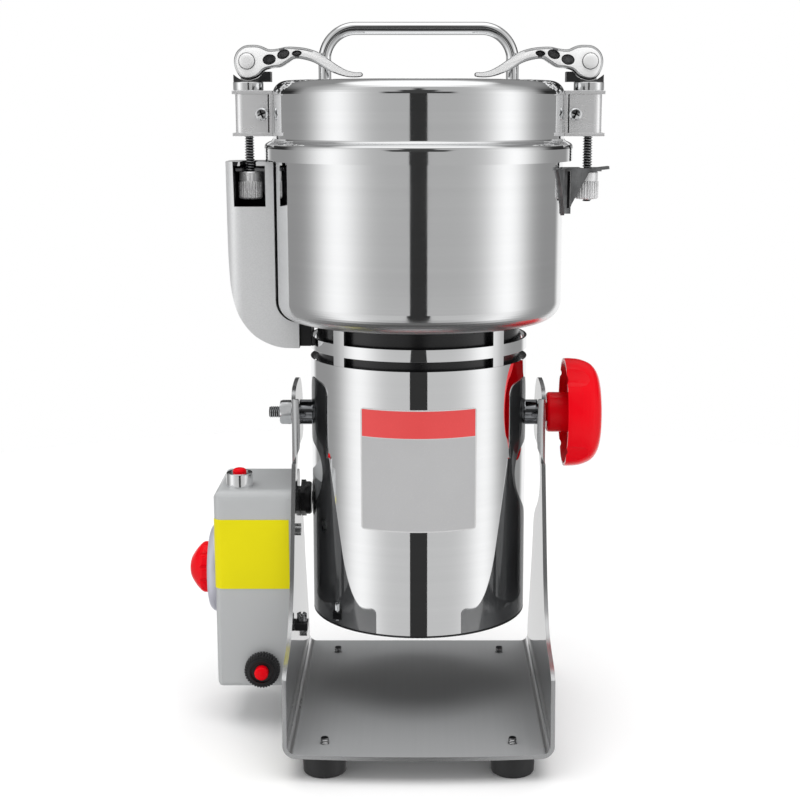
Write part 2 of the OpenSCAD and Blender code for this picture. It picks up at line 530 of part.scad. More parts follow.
// Front outline of the pouring handle, in (x, z)
function handle_outline() = concat([[-58.2, 210], [-58.2, 192]],
    smooth([[-58.2, 192], [-67, 192.4], [-74.4, 194.8], [-81.4, 199.6], [-87.6, 208.5], [-91, 220],
        [-92.2, 234], [-92.6, 250], [-92.8, 266], [-93, 282]], 5), [[-60, 282], [-60, 212]]);
module pouring_handle() color([0.74, 0.75, 0.76]) mill() difference() {
    intersection() {
        along_y(-14, 14) polygon(handle_outline());
        translate([0, 0, 180]) linear_extrude(height = 110) rrect([-93.2, -14], [-40, 14], 8);
    }
    rotate_extrude($fn = 180) polygon(concat([[0, bowl_z0 - 0.8]], bowl_profile(0.8), [[bowl_r + 0.8, 300], [0, 300]]));
    // cavity behind the window, and the slot for the latch rod
    bx([-88.6, -20, 260.7], [-73.4, 10, 280.1]);
    bx([-88.4, -9, 257], [-60, 9, 280.1]);
    bx([-85.3, -20, 270], [-77.6, 0, 290]);
    zcyl(270, 290, -81.45, 0, 3.85, 48);
}
module handle_end() color([0.22, 0.23, 0.24]) mill() difference() {
    bx([-58.2, -11, 192.6], [-50, 11, bowl_z0 - 0.3]);
    zcyl(180, 220, 0, 0, house_r, 180);
}

// ---- lid -----------------------------------------------------------------------------
module lid_gasket() color([0.88, 0.88, 0.86]) mill() rotate_extrude($fn = 128)
    polygon([[66, 287.4], [bowl_r + 1.6, 287.4], [bowl_r + 1.6, 289.2], [66, 289.2]]);

module lid_shell() color([0.80, 0.81, 0.82]) mill() rotate_extrude($fn = 180) polygon(concat(
    [[skirt_r, skirt_z0], [skirt_r, 288.4]], smooth([[skirt_r, 288.4], [74.1, 290.1], [72.4, 291.3], [71, 291.9], [70.3, 292.9]], 4),
    [[70.3, lid_top - 7.5]], arc([63.3, lid_top - 7], 7, 4, 90, 14), [[0, lid_top], [0, lid_top - 1.5]],
    arc([63.3, lid_top - 7], 5.5, 90, 6, 12), [[68.8, lid_top - 8], [68.8, 291.6], [72, 289.6], [73.2, 288], [73.2, skirt_z0]]));

// Inner plate that closes the lid from below
module lid_liner() color([0.76, 0.77, 0.78]) mill() difference() {
    rotate_extrude($fn = 180) polygon([[0, 289.5], [69.4, 289.5], [69.4, 291], [68.8, 291.4], [68.8, 298], [67.3, 298], [67.3, 291], [0, 291]]);
    for (a = [45 : 90 : 315]) rotate([0, 0, a]) zcyl(288, 292, 52, 0, 1.6, 24);
}

// Rod handle: two legs and a crosspiece joined by bends, just behind the latch levers
module lid_handle() color([0.84, 0.85, 0.86]) mill() translate([0, 9.2, 0]) {
    hx = 45.6; hz = 345; br = 15;
    for (s = [-1, 1]) {
        zcyl(lid_top, hz - br, s * hx, 0, rod_d / 2);
        translate([s * (hx - br), 0, hz - br]) rotate([90, s > 0 ? 0 : -90, 0])
            rotate_extrude(angle = 90, $fn = 96) translate([br, 0]) circle(r = rod_d / 2, $fn = 48);
    }
    xcyl(-hx + br, hx - br, 0, hz, rod_d / 2);
}

module latch_brackets() color([0.74, 0.75, 0.76]) mill() both_sides() difference() {
    union() {
        bx([66, -8, 293.9], [71.4, 8, 315.4]);
        bx([69, -8, 313.7], [89.2, 8, 315.4]);
        bx([69, -8, 293.9], [89.2, 8, 295.5]);
    }
    zcyl(280, 330, 0, 0, 70.3, 180);
    zcyl(290, 320, latch_x, 0, 2.5);
    ycyl(-9, 9, 75, 304.3, 1.95, 32);
}
module latch_sleeves() color([0.72, 0.73, 0.74]) mill() both_sides() difference() {
    translate([0, 0, 295.5]) linear_extrude(height = 18.2) difference() {
        intersection() { rrect([60, -7.8], [88, 7.8], 4.2); translate([72.1, -9]) square([20, 18]); }
        intersection() { rrect([58, -6.6], [86.8, 6.6], 3); translate([72, -9]) square([20, 18]); }
    }
    ycyl(-9, 9, 75, 304.3, 1.95, 32);
}
module latch_screws() color([0.60, 0.61, 0.62]) mill() both_sides() difference() {
    union() {
        ycyl(-7.8, 9.6, 75, 304.3, 1.9, 32);
        translate([75, -7.8, 304.3]) rotate([90, 0, 0]) rotate_extrude($fn = 64)
            polygon([[0, 0], [3.1, 0], [3, 0.8], [2.3, 1.6], [0, 2]]);
    }
    for (a = [0, 90]) translate([75, -9.2, 304.3]) rotate([0, a + 20, 0]) cube([3.6, 1.8, 0.7], center = true);
}
module latch_rods() color([0.55, 0.56, 0.57]) mill() both_sides() {
    difference() {
        union() {
            zcyl(262.6, 319.9, latch_x, 0, 2.4, 48);
            ycyl(-1.9, 1.9, latch_x, pin_z, 5);
            bx([latch_x - 3.4, -1.9, 319.7], [latch_x + 3.4, 1.9, pin_z - 1]);
        }
        ycyl(-3, 3, latch_x, pin_z, 2);
    }
}
module lever_pins() color([0.75, 0.75, 0.76]) mill() both_sides() difference() {
    union() {
        ycyl(-4.6, 5, latch_x, pin_z, 2, 48);
        for (s = [0, 180]) rotate([0, 0, 0]) translate([latch_x, 0, pin_z]) rotate([s == 0 ? 90 : -90, 0, 0]) translate([0, 0, 4.9])
            rotate_extrude($fn = 64) polygon(concat([[0, -0.9], [2, -0.9], [2, 0], [4, 0]], smooth([[4, 0], [3.5, 0.8], [2, 1.4], [0, 1.6]], 4)));
    }
}
module latch_rings() color([0.80, 0.81, 0.82]) mill() both_sides() translate([latch_x, 0, 315.4]) difference() {
    rotate_extrude($fn = 96) polygon([[2.4, 0], [7, 0], [7.3, 0.3], [7.3, 3.8], [7, 4.1], [2.4, 4.1]]);
    translate([0, 0, 0]) rotate([0, 0, 20]) bx([-8, -0.3, 0.6], [-6.9, 0.3, 5]);
}
// Nylon saddle under the cam, with an arm that carries the closed lever
module latch_pads() color([0.04, 0.04, 0.04]) mill() both_sides() difference() {
    union() {
        zcyl(319.5, 324.6, latch_x, 0, 7.1);
        bx([latch_x - 11.2, -4, 319.5], [latch_x - 4, 4, 324.3]);
    }
    ycyl(-9, 9, latch_x, pin_z, 9.4);
    zcyl(318, 330, latch_x, 0, 2.4, 48);
    bx([latch_x - 3.6, -2, 318], [latch_x + 3.6, 2, 330]);
    // slanted back of the arm
    translate([latch_x - 11.2, -5, 319.5]) rotate([0, -38, 0]) translate([-8, 0, 0]) cube([8, 10, 12]);
}

// Side outline of a lever, pin at the origin, tip towards +X
function lever_outline() = ring_curve([[-6.3, 0], [-5, 4.2], [-1.6, 7], [2.6, 7.6], [6.5, 7.2], [10.5, 5.6], [14.5, 5.8],
    [19, 6.7], [24, 6.6], [29, 5.9], [34, 4.2], [38.5, 1.2], [43, -1.8], [47.5, -4.2], [51.5, -5.2], [54.6, -5.3],
    [54.8, -7], [51, -7.5], [46.5, -7.1], [41.5, -5.6], [37, -3.4], [32.5, -0.9], [28, 0.6], [23, 1.2], [19.6, -0.6],
    [16, -2.7], [12, -3.3], [9, -4], [7.4, -5], [5.8, -6.6], [3.1, -8.2], [0, -8.8], [-3, -7.8], [-5.4, -4.4]], 4);
module lever() difference() {
    along_y(-4.5, 4.5) polygon(lever_outline());
    ycyl(-6, 6, 0, 0, 2.05);
    bx([-12, -2.1, -12], [7.2, 2.1, 12]);
    hollow(10.7, 0.7, 2.9, 2.15, 12);
    hollow(17.5, 3.15, 2.8, 1.85, 22);
    hollow(23.9, 3.6, 2.1, 1.1, 6);
}
// Oval blind hollow in both cheeks of a lever
module hollow(x, z, a, b, t) for (s = [-1, 1]) translate([x, s * 4.5, z]) rotate([0, -t, 0]) scale([a, 1, b])
    ycyl(-2.2, 2.2, 0, 0, 1, 48);
module right_lever() color([0.90, 0.90, 0.91]) mill() translate([latch_x, 0, pin_z]) mirror([1, 0, 0]) lever();
module left_lever() color([0.90, 0.90, 0.91]) mill() translate([-latch_x, 0, pin_z]) lever();

// Knurled nut with a plain collar
module knurled_nut() difference() {
    rotate_extrude($fn = 96) polygon([[2.45, 263.7], [5.3, 263.7], [5.8, 264.2], [5.8, 272.2], [5.3, 272.6], [5.3, 276.6], [5, 277], [2.45, 277]]);
    for (i = [0 : 23]) rotate([0, 0, i * 15]) translate([6.05, 0, 262]) cylinder(h = 10.4, r = 0.5, $fn = 16);
}
module right_latch_nut() color([0.82, 0.82, 0.82]) mill() translate([latch_x, 0, 0]) knurled_nut();
module left_latch_nut() color([0.82, 0.82, 0.82]) mill() translate([-latch_x, 0, 0]) knurled_nut();

// ---- every node ----------------------------------------------------------------------
base_frame();
rubber_feet();
foot_screws();
control_box();
control_box_screws();
notice_plate();
timer_plate();
timer_body();
overload_breaker();
breaker_nut();
button_bezel();
switch_body();
mains_gland();
motor_gland();
cable_clip();
clip_screw();
motor_housing();
housing_cap();
rating_plate();
vent_ring();
grinding_bowl();
upper_bracket();
shaft_bearings();
stator_core();
field_coils();
brush_holders();
carbon_brushes();
pivot_bosses();
pivot_bolt();
pivot_nut();
left_lug();
right_lug();
pouring_handle();
handle_end();
motor_shaft();
armature_core();
commutator();
cooling_fan();
lower_blade();
upper_blade();
blade_nut();
lid_gasket();
lid_shell();
lid_liner();
lid_handle();
latch_brackets();
latch_sleeves();
latch_screws();
latch_rods();
lever_pins();
latch_pads();
latch_rings();
left_lever();
right_lever();
left_latch_nut();
right_latch_nut();
lock_knob();
timer_knob();
reset_button();
power_button();
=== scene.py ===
import json
import math
import bpy
import bmesh
from mathutils import Matrix, Vector


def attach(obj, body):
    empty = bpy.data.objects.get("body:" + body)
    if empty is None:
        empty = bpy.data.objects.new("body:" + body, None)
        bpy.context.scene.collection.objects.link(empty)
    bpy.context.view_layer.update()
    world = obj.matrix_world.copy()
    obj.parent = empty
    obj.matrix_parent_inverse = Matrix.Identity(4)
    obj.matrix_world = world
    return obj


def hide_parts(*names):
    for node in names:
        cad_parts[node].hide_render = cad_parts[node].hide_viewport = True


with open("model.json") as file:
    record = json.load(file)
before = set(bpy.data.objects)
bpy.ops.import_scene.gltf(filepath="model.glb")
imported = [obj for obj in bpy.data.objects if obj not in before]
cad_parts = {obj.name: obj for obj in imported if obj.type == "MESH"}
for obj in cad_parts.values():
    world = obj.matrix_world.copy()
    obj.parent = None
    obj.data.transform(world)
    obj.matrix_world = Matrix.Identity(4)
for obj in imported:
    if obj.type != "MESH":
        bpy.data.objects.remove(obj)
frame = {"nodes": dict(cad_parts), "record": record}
bpy.context.view_layer.update()
N = frame["nodes"]

# the mill's axis in the row frame, in metres; pieces are drawn in millimetres around it
AX, AY = 0.011733, 0.0082
MM = Matrix.Translation((AX, AY, 0.0)) @ Matrix.Scale(0.001, 4)

# ======================================================================================
# camera
# ======================================================================================
cam_data = bpy.data.cameras.new("camera")
cam_data.lens = 67.5
cam_data.sensor_width = 36.0
cam_data.shift_x = -0.02325
cam_data.clip_start = 0.01
cam_data.clip_end = 20
cam = bpy.data.objects.new("camera", cam_data)
cam.location = (AX, AY - 0.738, 0.307)
cam.rotation_euler = (math.radians(79), 0, 0)
bpy.context.scene.collection.objects.link(cam)
bpy.context.scene.camera = cam


# ======================================================================================
# node helpers
# ======================================================================================
class Mat:
    """A material under construction: m is the material, b its Principled shader."""

    def __init__(self, name, base=(0.8, 0.8, 0.8), metallic=0.0, rough=0.5, **more):
        self.m = bpy.data.materials.new(name)
        self.m.use_nodes = True
        self.nt = self.m.node_tree
        self.b = self.nt.nodes["Principled BSDF"]
        self.b.inputs["Base Color"].default_value = (*base, 1)
        self.b.inputs["Metallic"].default_value = metallic
        self.b.inputs["Roughness"].default_value = rough
        for k, v in more.items():
            self.b.inputs[k.replace("_", " ")].default_value = v

    def n(self, kind, ins=None, **props):
        x = self.nt.nodes.new(kind)
        for k, v in props.items():
            setattr(x, k, v)
        for k, v in (ins or {}).items():
            if isinstance(v, bpy.types.NodeSocket):
                self.nt.links.new(v, x.inputs[k])
            else:
                x.inputs[k].default_value = v
        return x

    def link(self, out, name):
        self.nt.links.new(out, self.b.inputs[name])

    def obj(self):
        return self.n("ShaderNodeTexCoord").outputs["Object"]

    def math(self, op, a, b=0.0, c=0.0, clamp=False):
        return self.n("ShaderNodeMath", {0: a, 1: b, 2: c}, operation=op, use_clamp=clamp).outputs[0]

    def scaled(self, vec, s):
        return self.n("ShaderNodeVectorMath", {0: vec, 1: s}, operation="MULTIPLY").outputs[0]

    def turned(self, vec, rot, s=(1, 1, 1)):
        return self.n("ShaderNodeMapping", {"Vector": vec, "Rotation": rot, "Scale": s}).outputs[0]

    def noise(self, vec, scale, detail=3.0, rough=0.5, dist=0.0):
        return self.n("ShaderNodeTexNoise", {"Vector": vec, "Scale": scale, "Detail": detail,
                                             "Roughness": rough, "Distortion": dist}).outputs["Fac"]

    def voronoi(self, vec, scale, feature="F1", out="Distance"):
        return self.n("ShaderNodeTexVoronoi", {"Vector": vec, "Scale": scale}, feature=feature).outputs[out]

    def ramp(self, fac, stops, interp="LINEAR"):
        r = self.n("ShaderNodeValToRGB", {"Fac": fac})
        r.color_ramp.interpolation = interp
        while len(r.color_ramp.elements) < len(stops):
            r.color_ramp.elements.new(0.5)
        for e, (p, c) in zip(r.color_ramp.elements, stops):
            e.position = p
            e.color = (c, c, c, 1) if isinstance(c, (int, float)) else (*c, 1)
        return r.outputs["Color"]

    def span(self, fac, lo, hi, a=0.0, b=1.0):
        return self.n("ShaderNodeMapRange", {"Value": fac, "From Min": a, "From Max": b,
                                             "To Min": lo, "To Max": hi}).outputs["Result"]

    def mix(self, fac, a, b):
        x = self.nt.nodes.new("ShaderNodeMix")
        x.data_type = "RGBA"
        for sock, v in ((x.inputs[0], fac), (x.inputs[6], a), (x.inputs[7], b)):
            if isinstance(v, bpy.types.NodeSocket):
                self.nt.links.new(v, sock)
            else:
                sock.default_value = v if isinstance(v, (int, float)) else (*v, 1)
        return x.outputs[2]

    def lathe(self, cx=AX, cy=AY):
        """Radius and height around an upright axis, as a vector whose noise runs in rings."""
        s = self.n("ShaderNodeSeparateXYZ", {0: self.obj()}).outputs
        dx, dy = self.math("SUBTRACT", s[0], cx), self.math("SUBTRACT", s[1], cy)
        r = self.math("SQRT", self.math("ADD", self.math("MULTIPLY", dx, dx), self.math("MULTIPLY", dy, dy)))
        return self.n("ShaderNodeCombineXYZ", {0: r, 1: 0.37, 2: s[2]}).outputs[0]

    def bump(self, *layers):
        """Each layer is (height socket, distance in metres, strength)."""
        last = None
        for h, dist, strength in layers:
            ins = {"Height": h, "Distance": dist, "Strength": strength}
            if last is not None:
                ins["Normal"] = last
            last = self.n("ShaderNodeBump", ins).outputs["Normal"]
        self.link(last, "Normal")


def metal(name, base, rough, grain="rings", grain_scale=1400, grain_amp=0.00002, wave=0.00012, spread=0.35,
          stretch=(1, 1, 1), streak_colour=0.05, smudge=0.25, scratch=0.0, grain_rough=0.5, foot=None, **more):
    """Polished or satin metal: grain lines, soft waviness, smudges and, where asked for, fine scratches."""
    a = Mat(name, base, 1.0, rough, **more)
    o = a.obj()
    if grain == "rings":
        g = a.noise(a.scaled(a.lathe(), (1, 1, 1)), grain_scale, 4, 0.6)
        g2 = a.noise(a.lathe(), grain_scale * 0.17, 2, 0.5)
    else:
        v = a.scaled(o, stretch)
        g = a.noise(v, grain_scale, 4, 0.6)
        g2 = a.noise(v, grain_scale * 0.17, 2, 0.5)
    cloud = a.noise(o, 26, 3, 0.55)
    fine = a.noise(o, 240, 3, 0.6)
    r = a.span(cloud, rough * (1 - spread), rough * (1 + spread), 0.3, 0.7)
    r = a.math("ADD", r, a.math("MULTIPLY", a.math("SUBTRACT", fine, 0.5), rough * smudge))
    r = a.math("ADD", r, a.math("MULTIPLY", a.math("SUBTRACT", g, 0.5), rough * grain_rough))
    if scratch:
        # thin bands of a strongly stretched noise
        s1 = a.noise(a.turned(o, (0.3, 0.5, 0.7), (60, 900, 60)), 1.0, 1, 0.4)
        scr = a.math("LESS_THAN", a.math("ABSOLUTE", a.math("SUBTRACT", s1, 0.5)), 0.004)
        r = a.math("ADD", r, a.math("MULTIPLY", scr, scratch), clamp=True)
    if foot:
        # satin lower rounding, and below the foot height a painted dark reflection on the underside
        fz = a.n("ShaderNodeSeparateXYZ", {0: o}).outputs[2]
        r = a.math("ADD", r, a.span(fz, 0.32, 0.0, foot, foot + 0.010), clamp=True)
    a.link(r, "Roughness")
    lo = tuple(c * (1 - streak_colour) for c in base)
    hi = tuple(min(1, c * (1 + streak_colour * 0.6)) for c in base)
    c = a.mix(a.span(g2, 0, 1, 0.3, 0.7), lo, hi)
    c = a.mix(a.math("MULTIPLY", cloud, 0.25), c, tuple(x * 0.93 for x in base))
    # painted reflection: base colour near black below the foot height
    if foot:
        c = a.mix(a.span(fz, 1.0, 0.0, foot + 0.0003, foot + 0.0011), c, (0.03, 0.03, 0.032))
    a.link(c, "Base Color")
    a.bump((a.noise(o, 11, 2, 0.4), wave, 1.0), (g, grain_amp, 1.0))
    return a.m


def threaded(name, base, rough, distance, r_lo, r_hi, top=None):
    """Plated screw steel with painted shade in the thread grooves; distance gives the socket of the radius from the
    screw's own axis.
    """
    a = Mat(name, base, 1.0, rough)
    o = a.obj()
    x, y, z = a.n("ShaderNodeSeparateXYZ", {0: o}).outputs
    # painted shade: colour near black where the surface lies inside r_hi, in the thread roots
    groove_shade = a.span(distance(a, x, y, z), 1.0, 0.0, r_lo, r_hi)
    if top:
        groove_shade = a.math("MULTIPLY", groove_shade, a.span(z, 1.0, 0.0, top, top + 0.0004))
    fine = a.noise(o, 900, 3, 0.6)
    cloud = a.noise(o, 60, 3, 0.5)
    c = a.mix(a.span(fine, 0, 1, 0.3, 0.7), tuple(v * 0.93 for v in base), base)
    c = a.mix(a.math("MULTIPLY", cloud, 0.3), c, tuple(v * 0.9 for v in base))
    a.link(a.mix(groove_shade, c, (0.035, 0.035, 0.037)), "Base Color")
    a.link(a.math("ADD", a.span(groove_shade, rough, 0.55), a.math("MULTIPLY", a.math("SUBTRACT", fine, 0.5), rough * 0.4), clamp=True),
           "Roughness")
    a.bump((cloud, 0.00001, 1.0), (fine, 0.000004, 1.0))
    return a.m


def off_axis(a, u, v):
    return a.math("SQRT", a.math("ADD", a.math("MULTIPLY", u, u), a.math("MULTIPLY", v, v)))


def plain(name, base, rough, speck=600, speck_amp=0.00004, var=0.12, peel=None, wear=None, **more):
    """Moulded plastic, rubber or paint: slight colour drift, roughness mottling and surface texture."""
    a = Mat(name, base, 0.0, rough, **more)
    o = a.obj()
    cloud = a.noise(o, 35, 4, 0.55)
    fine = a.noise(o, speck, 3, 0.6)
    c = a.mix(a.span(cloud, 0, 1, 0.25, 0.75), tuple(x * (1 - var) for x in base), tuple(min(1, x * (1 + var * 0.6)) for x in base))
    c = a.mix(a.span(fine, 0, 0.35, 0.55, 0.85), c, wear or tuple(min(1, x * 1.25 + 0.004) for x in base))
    a.link(c, "Base Color")
    r = a.math("ADD", a.span(cloud, rough * 0.85, rough * 1.2, 0.3, 0.7),
               a.math("MULTIPLY", a.math("SUBTRACT", fine, 0.5), rough * 0.35), clamp=True)
    a.link(r, "Roughness")
    layers = [(fine, speck_amp, 1.0)]
    if peel:
        layers.insert(0, (a.noise(o, peel[0], 2, 0.5), peel[1], 1.0))
    a.bump(*layers)
    return a.m


# ======================================================================================
# materials
# ======================================================================================
M = {}


def stand_steel():
    """Stand: satin base plate, bright folds, brushed cut edges and polished uprights.

    The inner faces of the uprights are painted dark, a painted reflection of the dark parts around them; they mirror
    at grazing angles only."""
    a = Mat("stand_steel", (0.72, 0.725, 0.73), 1.0, 0.14, IOR=2.3)
    o = a.obj()
    x, y, z = a.n("ShaderNodeSeparateXYZ", {0: o}).outputs
    nx, ny, nz = a.n("ShaderNodeSeparateXYZ", {0: a.n("ShaderNodeNewGeometry").outputs["True Normal"]}).outputs
    side = a.math("MULTIPLY", nx, a.math("SIGN", a.math("SUBTRACT", x, AX)))
    inner = a.span(side, 0.0, 1.0, -0.90, -0.97)
    edge = a.span(a.math("ABSOLUTE", nx), 1.0, 0.0, 0.90, 0.97)
    plate = a.math("MULTIPLY", a.span(nz, 0.0, 1.0, 0.90, 0.97), a.span(z, 1.0, 0.0, 0.0145, 0.0150))
    fold = a.math("MULTIPLY", a.math("MULTIPLY", a.span(nz, 0.0, 1.0, 0.25, 0.40), a.span(nz, 1.0, 0.0, 0.86, 0.93)),
                  a.span(a.math("ABSOLUTE", nx), 0.0, 1.0, 0.2, 0.4))
    g = a.noise(a.scaled(o, (1, 0.02, 1)), 500, 4, 0.6)
    cloud = a.noise(o, 26, 3, 0.55)
    fine = a.noise(o, 240, 3, 0.6)
    c = a.mix(a.span(g, 0, 1, 0.3, 0.7), (0.73, 0.735, 0.74), (0.76, 0.765, 0.77))
    c = a.mix(edge, c, (0.50, 0.505, 0.51))
    # painted reflection: inner faces of the uprights dark grey, darker from 40 to 65 mm up
    c = a.mix(inner, c, a.mix(a.span(z, 0.0, 1.0, 0.040, 0.065), (0.17, 0.172, 0.175), (0.085, 0.087, 0.09)))
    c = a.mix(fold, c, (0.80, 0.80, 0.805))
    lo = a.mix(a.span(g, 0, 1, 0.3, 0.7), (0.325, 0.33, 0.335), (0.34, 0.345, 0.35))
    lo = a.mix(a.math("MULTIPLY", cloud, 0.3), lo, (0.31, 0.315, 0.32))
    a.link(a.mix(plate, c, lo), "Base Color")

    def blend(start, *steps):
        v = start
        for f, to in steps:
            v = a.math("ADD", a.math("MULTIPLY", v, a.math("SUBTRACT", 1.0, f)), a.math("MULTIPLY", f, to))
        return v

    a.link(blend(a.span(inner, 1.0, 0.0), (edge, 0.85), (fold, 0.9), (plate, 0.0)), "Metallic")
    a.link(a.span(plate, 0.5, 0.12), "Specular IOR Level")
    r = blend(a.span(inner, 0.13, 0.07), (edge, 0.26), (fold, 0.28), (plate, 0.50))
    r = a.math("ADD", r, a.math("MULTIPLY", a.math("SUBTRACT", fine, 0.5), 0.012))
    a.link(a.math("ADD", r, a.math("MULTIPLY", a.math("SUBTRACT", cloud, 0.5), 0.03), clamp=True), "Roughness")
    a.bump((a.noise(o, 11, 2, 0.4), 0.00001, 1.0), (g, 0.0000003, 1.0))
    return a.m


M["stand_steel"] = stand_steel()
M["mirror_steel"] = metal("mirror_steel", (0.84, 0.845, 0.85), 0.035, grain_scale=1700, grain_amp=0.0000016,
                          wave=0.00002, streak_colour=0.02)
M["satin_steel"] = metal("satin_steel", (0.81, 0.815, 0.82), 0.06, grain_scale=1300, grain_amp=0.0000035,
                         wave=0.000015, streak_colour=0.03)
M["bowl_steel"] = metal("bowl_steel", (0.81, 0.815, 0.82), 0.06, grain_scale=1300, grain_amp=0.0000035,
                        wave=0.000015, streak_colour=0.03, foot=0.2055)
M["rod_thread"] = threaded("rod_thread", (0.72, 0.725, 0.73), 0.20, lambda a, x, y, z: off_axis(
    a, a.math("SUBTRACT", a.math("ABSOLUTE", a.math("SUBTRACT", x, AX)), 0.082), a.math("SUBTRACT", y, AY)), 0.0018, 0.0022, 0.2968)
M["bolt_thread"] = threaded("bolt_thread", (0.80, 0.81, 0.82), 0.16, lambda a, x, y, z: off_axis(
    a, a.math("SUBTRACT", y, AY), a.math("SUBTRACT", z, 0.1575)), 0.00258, 0.00288)
M["stud_thread"] = threaded("stud_thread", (0.85, 0.855, 0.86), 0.18, lambda a, x, y, z: off_axis(
    a, a.math("SUBTRACT", a.math("ABSOLUTE", a.math("SUBTRACT", x, AX)), 0.0442),
    a.math("SUBTRACT", a.math("ABSOLUTE", a.math("SUBTRACT", y, AY - 0.0145)), 0.0605)), 0.00168, 0.00190)
M["bright_metal"] = metal("bright_metal", (0.86, 0.865, 0.87), 0.11, "lines", 700, 0.000006, 0.00008,
                          stretch=(0.2, 1, 1), streak_colour=0.03)
M["chrome"] = metal("chrome", (0.87, 0.875, 0.88), 0.05, "lines", 500, 0.000002, 0.00002,
                    stretch=(0.1, 1, 1), streak_colour=0.02)
M["hardware"] = metal("hardware", (0.60, 0.61, 0.61), 0.27, "lines", 1500, 0.00001, 0.00004,
                      stretch=(1, 1, 0.4), streak_colour=0.16, smudge=0.5)
M["dial_metal"] = metal("dial_metal", (0.60, 0.60, 0.68), 0.42, "lines", 900, 0.000002, 0.00002,
                        stretch=(1, 1, 1), streak_colour=0.03, smudge=0.05, spread=0.1)
M["dial_metal"].node_tree.nodes["Principled BSDF"].inputs["Metallic"].default_value = 0.35
M["sleeve_metal"] = metal("sleeve_metal", (0.93, 0.93, 0.935), 0.30, "lines", 700, 0.0000006, 0.00001,
                          stretch=(0.2, 1, 1), streak_colour=0.02, smudge=0.1, spread=0.12)
M["sleeve_metal"].node_tree.nodes["Principled BSDF"].inputs["Metallic"].default_value = 0.8
M["pin_metal"] = metal("pin_metal", (0.90, 0.90, 0.90), 0.42, "lines", 900, 0.000003, 0.00002,
                       stretch=(1, 1, 1), streak_colour=0.03, smudge=0.1)
M["boss_metal"] = metal("boss_metal", (0.42, 0.43, 0.45), 0.10, "lines", 900, 0.000003, 0.00003,
                        stretch=(1, 1, 1), streak_colour=0.05, smudge=0.1)
M["zinc"] = metal("zinc", (0.80, 0.81, 0.82), 0.16, "lines", 1200, 0.000004, 0.00004,
                  stretch=(1, 1, 0.4), streak_colour=0.08, smudge=0.2)
M["cast_alloy"] = metal("cast_alloy", (0.55, 0.56, 0.57), 0.42, "lines", 900, 0.00006, 0.0001,
                        stretch=(1, 1, 1), streak_colour=0.12)
M["blade_steel"] = metal("blade_steel", (0.78, 0.79, 0.80), 0.16, "lines", 1400, 0.00001, 0.00002,
                         stretch=(0.05, 1, 1), streak_colour=0.06)
M["laminations"] = metal("laminations", (0.25, 0.24, 0.24), 0.45, "lines", 1400, 0.00003, 0.00002,
                         stretch=(0.02, 0.02, 1), streak_colour=0.25)
M["copper"] = metal("copper", (0.72, 0.36, 0.17), 0.3, "lines", 1500, 0.00005, 0.00002,
                    stretch=(1, 1, 0.03), streak_colour=0.2)
M["black_rubber"] = plain("black_rubber", (0.022, 0.022, 0.023), 0.55, 900, 0.00006, 0.2)
M["black_plastic"] = plain("black_plastic", (0.012, 0.012, 0.013), 0.30, 1200, 0.000006, 0.15,
                           wear=(0.017, 0.017, 0.018), Specular_IOR_Level=0.4)
M["cream_plastic"] = plain("cream_plastic", (0.74, 0.70, 0.58), 0.42, 900, 0.00003, 0.06)
M["brown_plastic"] = plain("brown_plastic", (0.21, 0.11, 0.05), 0.5, 700, 0.00005, 0.25)
M["carbon"] = plain("carbon", (0.03, 0.03, 0.032), 0.6, 1600, 0.00006, 0.2)
M["white_rubber"] = plain("white_rubber", (0.80, 0.79, 0.76), 0.45, 900, 0.00003, 0.04)
M["yellow_film"] = plain("yellow_film", (0.80, 0.71, 0.001), 0.40, 1500, 0.000004, 0.03, wear=(0.83, 0.74, 0.004),
                         Specular_IOR_Level=0.15)
M["box_paint"] = plain("box_paint", (0.47, 0.48, 0.485), 0.42, 1100, 0.000006, 0.025, peel=(520, 0.00001),
                       wear=(0.49, 0.50, 0.505), Coat_Weight=0.35, Coat_Roughness=0.12)
M["red_plastic"] = plain("red_plastic", (0.82, 0.0008, 0.008), 0.20, 800, 0.000003, 0.05, peel=(40, 0.00003),
                         wear=(0.88, 0.002, 0.012), Specular_IOR_Level=0.10, Coat_Weight=0.06, Coat_Roughness=0.04)
M["label_film"] = plain("label_film", (0.47, 0.47, 0.475), 0.42, 1500, 0.00001, 0.03)


def silver_paint():
    a = Mat("silver_paint", (0.74, 0.745, 0.75), 0.40, 0.34, Coat_Weight=0.35, Coat_Roughness=0.10)
    o = a.obj()
    flake = a.voronoi(o, 2600, out="Color")
    fl = a.n("ShaderNodeSeparateColor", {0: flake}).outputs[0]
    cloud = a.noise(o, 22, 3, 0.5)
    c = a.mix(a.span(fl, 0, 1), (0.71, 0.715, 0.72), (0.78, 0.785, 0.79))
    c = a.mix(a.math("MULTIPLY", cloud, 0.3), c, (0.68, 0.685, 0.69))
    a.link(c, "Base Color")
    a.link(a.math("ADD", a.span(cloud, 0.30, 0.36, 0.3, 0.7), a.math("MULTIPLY", fl, 0.04)), "Roughness")
    a.bump((a.noise(o, 300, 2, 0.5), 0.000008, 1.0), (fl, 0.000002, 1.0))
    return a.m


M["silver_paint"] = silver_paint()


def dress(node, mat):
    o = N[node]
    if not o.material_slots:
        o.data.materials.append(mat)
    for s in o.material_slots:
        s.material = mat


SLOTS = {p["node"]: p["material_slot"] for p in frame["record"]["subparts"]}
for node, slot in SLOTS.items():
    if node in N and slot in M:
        dress(node, M[slot])
dress("lid_handle", M["chrome"])
dress("lever_pins", M["pin_metal"])
dress("pivot_bosses", M["boss_metal"])
dress("grinding_bowl", M["bowl_steel"])
dress("latch_screws", M["zinc"])


